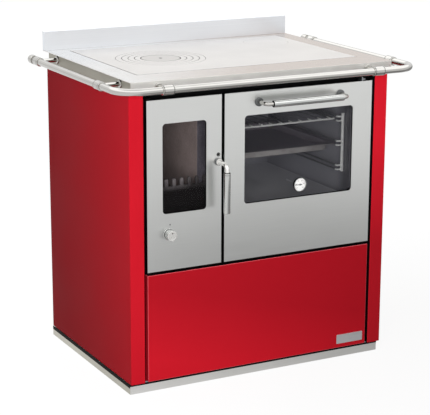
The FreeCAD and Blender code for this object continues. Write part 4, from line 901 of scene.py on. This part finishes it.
def ovenHandleGrip():
    h = ovenHandle
    bm = bmesh.new()
    length, wide, bore = h["gripLength"], h["grip"], h["rod"] + h["slip"]
    end = [(0, 1.5), (bore, 1.5), (bore, 0.4), (bore + 0.4, 0), (wide - 1.2, 0), (wide - 0.3, 0.4), (wide, 1.3)]
    outline = end + [(radius, length - height) for radius, height in reversed(end)]
    turn(bm, outline, at(h["x"] - length / 2, h["front"] - h["reach"], h["z"]), (1, 0, 0), 56)
    blackGripEnds(standFor("oven_handle_grip", bm), (1, 0, 0))


def ovenHandleRosettes():
    h = ovenHandle
    bm = bmesh.new()
    for side in (-1, 1):
        turn(bm, rosetteOutline(h["rosette"], h["rosetteThick"], h["rod"], h["rosetteMouth"]),
             at(h["x"] + side * h["span"] / 2, h["front"], h["z"]), (0, -1, 0), 56)
    standFor("oven_handle_rosettes", bm, own["darkSteel"])


dial = {
    "x": 113.5, "z": 528, "skinBack": -249.25, "standoff": 4, "case": 7.5, "recess": 3, "radius": 20, "rim": 1.8,
    "neck": 17, "probe": 3, "probeLength": 62, "probeTip": 1.2, "lens": 0.5, "lensDeep": 0.6, "sides": 72,
    "numbers": ["0", "100", "200", "300", "400", "500"], "marks": 51, "longMark": 2.2, "midMark": 1.5,
    "shortMark": 0.9, "wideMark": 0.7, "thinMark": 0.4, "startAngle": 225, "sweep": 270, "scaleRadius": 16.2,
    "numberRadius": 11.6, "numberSize": 3.6, "lift": 0.04, "inkThick": 0.06,
    "hub": 2.7, "pointer": 16, "pointerHalf": 0.95, "tail": 5.2, "tailHalf": 1.6,
}


def thermometerCase():
    d = dial
    bm = bmesh.new()
    r, rim, deep, case, probe = d["radius"], d["rim"], d["recess"], d["case"], d["probe"]
    back = case + d["standoff"]
    tip = back + d["probeLength"]
    outline = [(0, deep), (r - rim, deep), (r - rim, 0.5), (r - rim + 0.4, 0), (r - 0.8, 0), (r - 0.2, 0.3), (r, 1.0),
               (r, case - 1.6), (r - 1.6, case), (d["neck"], case), (d["neck"], back), (probe, back),
               (probe, tip - 2), (d["probeTip"], tip), (0, tip)]
    start = at(d["x"], d["skinBack"] - back, d["z"])
    turn(bm, outline, start, (0, 1, 0), d["sides"])
    piece = standFor("thermometer_case", bm)
    # painted shade: the case's side wall and neck are painted black, and its front rim takes the shaded steel
    paint(piece, black, lambda face: abs(face.normal.y) < 0.3 and 0.9 * mm < face.center.y - start.y < back * mm)
    # painted light: the probe, in the dial's shadow, takes a pale satin
    paint(piece, own["probe"], lambda face: face.center.y - start.y > (back + 0.2) * mm)
    paint(piece, own["darkSteel"], lambda face: face.normal.y < -0.4 and face.center.y - start.y < 1 * mm)


def dialWay(i, count):
    # the way from the dial's middle to step i of a scale with so many steps
    angle = radians(dial["startAngle"] - dial["sweep"] * i / (count - 1))
    return angle, Vector((cos(angle), 0, sin(angle)))


def roundCard(name, finish, frontMm, edgeGap, thick):
    d = dial
    bm = bmesh.new()
    wide = d["radius"] - d["rim"] - edgeGap
    turn(bm, [(0, 0), (wide, 0), (wide, thick), (0, thick)], at(d["x"], frontMm, d["z"]), (0, 1, 0), d["sides"])
    keepPiece(name, bm, own[finish], "oven_door")


def dialScale(spot):
    d = dial
    bm = bmesh.new()
    for i in range(d["marks"]):
        angle, way = dialWay(i, d["marks"])
        long = d["longMark"] if i % 10 == 0 else d["midMark"] if i % 5 == 0 else d["shortMark"]
        wide = d["wideMark"] if i % 10 == 0 else d["thinMark"]
        middle = spot + way * ((d["scaleRadius"] - long / 2) * mm) + Vector((0, -d["lift"] * mm, 0))
        bmesh.ops.create_cube(bm, size=1.0, matrix=Matrix.Translation(middle) @ Matrix.Rotation(-angle, 4, "Y")
                              @ Matrix.Diagonal((long * mm, d["inkThick"] * mm, wide * mm, 1)))
    keepPiece("dialScale", bm, own["dialInk"], "oven_door")


def dialNumbers(spot):
    d = dial
    bm = bmesh.new()
    for i, number in enumerate(d["numbers"]):
        curve = bpy.data.curves.new("number", "FONT")
        curve.body = number
        curve.size = d["numberSize"] * mm
        curve.align_x, curve.align_y = "CENTER", "CENTER"
        curve.extrude = d["inkThick"] / 2 * mm
        text = addObject("number", curve)
        bpy.context.view_layer.update()
        mesh = bpy.data.meshes.new_from_object(text.evaluated_get(bpy.context.evaluated_depsgraph_get()))
        middle = spot + dialWay(i, len(d["numbers"]))[1] * (d["numberRadius"] * mm) + Vector((0, -d["lift"] * mm, 0))
        mesh.transform(Matrix.Translation(middle) @ Matrix.Rotation(pi / 2, 4, "X"))
        bm.from_mesh(mesh)
        bpy.data.objects.remove(text)
        bpy.data.curves.remove(curve)
        bpy.data.meshes.remove(mesh)
    keepPiece("dialNumbers", bm, own["dialInk"], "oven_door")


def dialFace():
    # a white card with a printed scale, and a flat lens over it
    d = dial
    front = d["skinBack"] - d["standoff"] - d["case"]
    card = front + d["recess"] - 0.12
    spot = at(d["x"], card, d["z"])
    roundCard("dialCard", "dialWhite", card, 0.15, 0.1)
    dialScale(spot)
    dialNumbers(spot)
    roundCard("dialLens", "dialLens", front + d["lensDeep"], 0.1, d["lens"])


def thermometerNeedle():
    low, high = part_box("thermometer_needle")
    d = dial
    bm = bmesh.new()
    hub = Vector((d["x"] * mm, low.y, d["z"] * mm))
    thick = (high.y - low.y) / mm
    turn(bm, [(0, -0.3), (1.6, -0.3), (d["hub"], 0.1), (d["hub"], thick), (0, thick)], hub, (0, 1, 0), 32)
    pointer, half, tail, tailHalf = (d[key] * mm for key in ("pointer", "pointerHalf", "tail", "tailHalf"))
    box(bm, (hub.x - pointer, low.y, hub.z - half), (hub.x, high.y, hub.z + half))
    box(bm, (hub.x, low.y, hub.z - tailHalf), (hub.x + tail, high.y, hub.z + tailHalf))
    standFor("thermometer_needle", bm)


ovenHandleRod()
ovenHandleGrip()
ovenHandleRosettes()
thermometerCase()
dialFace()
thermometerNeedle()
print("stage 7: oven door handle and thermometer")


# Floor, light and camera

studio = {
    "floorSize": 60, "floorColour": "#cdcdcc", "floorNear": 1.07, "floorFar": 1.16, "floorGlow": 0.86,
    "mirrorCentre": (-0.8, 0.9, 0), "mirrorNear": 0.275, "mirrorFar": 0.94,
    "mirrorFall": (0.3, 1.8), "glowFall": (0.9, 2.0), "flagX": (1.3, 1.8), "flagY": (-1.8, -1.2), "shadeRight": 0.6,
    "skyDiffuse": 0.14,
    "skyBands": ((0.001, 0.7), (0.10, 0.86), (0.20, 0.98), (0.38, 0.98), (0.5, 1.8), (0.8, 1.8), (0.92, 1.0),
                 (0.999, 1.0)),
    "softboxes": {
        "frontSoftbox": {"place": (-1.0, -1.88, 0.85), "aim": (0, -0.1, 0.45), "size": 1.0, "power": 34},
        "overheadSoftbox": {"place": (-0.3, -0.6, 3.2), "aim": (0, 0, 0.85), "size": 2.4, "power": 9},
        "sideSoftbox": {"place": (1.9, -0.7, 1.4), "aim": (0.3, 0, 0.5), "size": 1.0, "power": 6},
    },
    "snoot": {"place": (0.0, -1.9, 0.78), "aim": (0.07, -0.25, 0.54), "angle": 9, "power": 60},
}
plainWhite = "#ffffff"


def lookByRay(tree, other, seen, mirrored):
    # one look for the camera, one for mirrors and glass, and one for all other light
    rays = addNode(tree, "LightPath").outputs
    look = addNode(tree, "MixShader", {0: rays["Is Camera Ray"], 1: other, 2: seen})
    glassy = addNode(tree, "Math", {0: rays["Is Glossy Ray"], 1: rays["Is Transmission Ray"]}, operation="MAXIMUM")
    return addNode(tree, "MixShader", {0: glassy, 1: look, 2: mirrored})


def studioFloor():
    bm = bmesh.new()
    bmesh.ops.create_grid(bm, x_segments=2, y_segments=2, size=studio["floorSize"] / 2)
    mesh = meshFrom("studioFloor", bm)
    floor = addObject("studioFloor", mesh)
    finish, tree, place = startFinish("paleStudioFloor", {"Roughness": 0.9, "Specular IOR Level": 0.0,
                                                          "Base Color": studio["floorColour"]})
    matt = tree.nodes["Principled BSDF"]
    # seen straight on the floor is white and keeps a soft shadow; in metal it shows a painted shadow, falling off to
    # grey near the stove
    centred = addNode(tree, "Mapping", {"Location": studio["mirrorCentre"], "Vector": place})
    far = addNode(tree, "VectorMath", {0: centred}, operation="LENGTH").outputs["Value"]
    low, high = studio["mirrorFall"]
    fall = addNode(tree, "MapRange", {0: far, 1: low, 2: high, 3: studio["mirrorNear"], 4: studio["mirrorFar"]},
                   interpolation_type="SMOOTHSTEP")
    low, high = studio["glowFall"]
    glow = addNode(tree, "MapRange", {0: far, 1: low, 2: high, 3: studio["floorNear"], 4: studio["floorFar"]})
    # a grey flag on the floor to the right gives upright handles a darker side
    spot = addNode(tree, "SeparateXYZ", {0: place}).outputs
    low, high = studio["flagX"]
    right = addNode(tree, "MapRange", {0: spot["X"], 1: low, 2: high, 4: studio["shadeRight"]},
                    interpolation_type="SMOOTHSTEP")
    low, high = studio["flagY"]
    beside = addNode(tree, "MapRange", {0: spot["Y"], 1: low, 2: high}, interpolation_type="SMOOTHSTEP")
    flag = addNode(tree, "Math", {0: right, 1: beside}, operation="MULTIPLY")
    clear = addNode(tree, "Math", {0: 1.0, 1: flag}, operation="SUBTRACT")
    shaded = addNode(tree, "Math", {0: fall, 1: clear}, operation="MULTIPLY")
    white = addNode(tree, "Emission", {"Color": plainWhite, "Strength": glow})
    seen = addNode(tree, "MixShader", {0: studio["floorGlow"], 1: matt, 2: white})
    mirrored = addNode(tree, "Emission", {"Color": plainWhite, "Strength": shaded})
    feed(tree, tree.nodes["Material Output"], {"Surface": lookByRay(tree, matt, seen, mirrored)})
    mesh.materials.append(finish)


def studioSky():
    # metal and glass mirror a room in soft grey bands; the camera sees plain white
    world = bpy.data.worlds.new("studioSky")
    bpy.context.scene.world = world
    world.use_nodes = True
    tree = world.node_tree
    tree.nodes.clear()
    way = addNode(tree, "TexCoord").outputs["Generated"]
    bands = addNode(tree, "ValToRGB", {0: addNode(tree, "SeparateXYZ", {0: way}).outputs["Z"]})
    ramp = bands.color_ramp
    for spot, tone in studio["skyBands"]:
        ramp.elements.new(spot).color = (tone, tone, tone, 1)
    ramp.elements.remove(ramp.elements[-1])
    ramp.elements.remove(ramp.elements[0])
    plain = addNode(tree, "Background", {"Color": plainWhite, "Strength": studio["skyDiffuse"]})
    white = addNode(tree, "Background", {"Color": plainWhite, "Strength": 1.0})
    mirrored = addNode(tree, "Background", {"Color": bands, "Strength": 1.0})
    addNode(tree, "OutputWorld", {0: lookByRay(tree, plain, white, mirrored)})


def hangLight(name, lamp, how):
    lamp.energy = how["power"]
    light = addObject(name, lamp)
    light.location = how["place"]
    light.rotation_euler = (Vector(how["aim"]) - Vector(how["place"])).to_track_quat("-Z", "Y").to_euler()
    light.visible_glossy = False  # polished steel mirrors the white room, not the lamps


def softbox(name, how):
    lamp = bpy.data.lights.new(name, "AREA")
    lamp.shape = "SQUARE"
    lamp.size = how["size"]
    hangLight(name, lamp, how)


def ovenSnoot():
    # a narrow spot that only reaches through the oven window
    lamp = bpy.data.lights.new("ovenSnoot", "SPOT")
    lamp.spot_size = radians(studio["snoot"]["angle"])
    lamp.spot_blend = 0.5
    lamp.shadow_soft_size = 0.08
    hangLight("ovenSnoot", lamp, studio["snoot"])


view = {"place": (-2.0014, -3.7867, 1.5394), "yaw": 27.712, "pitch": 14.689, "roll": 0.198, "lens": 130.0}


def photoCamera():
    lens = bpy.data.cameras.new("photoCamera")
    lens.sensor_width = 36
    lens.lens = view["lens"]
    lens.clip_start, lens.clip_end = 0.1, 100
    camera = addObject("photoCamera", lens)
    aim = Matrix.Rotation(-radians(view["yaw"]), 4, "Z") @ Matrix.Rotation(radians(90 - view["pitch"]), 4, "X")
    camera.matrix_world = Matrix.Translation(view["place"]) @ aim @ Matrix.Rotation(radians(view["roll"]), 4, "Z")
    bpy.context.scene.camera = camera


studioFloor()
studioSky()
for name, how in studio["softboxes"].items():
    softbox(name, how)
ovenSnoot()
photoCamera()
bpy.context.scene.view_settings.view_transform = "Standard"
print("stage 8: studio and camera")
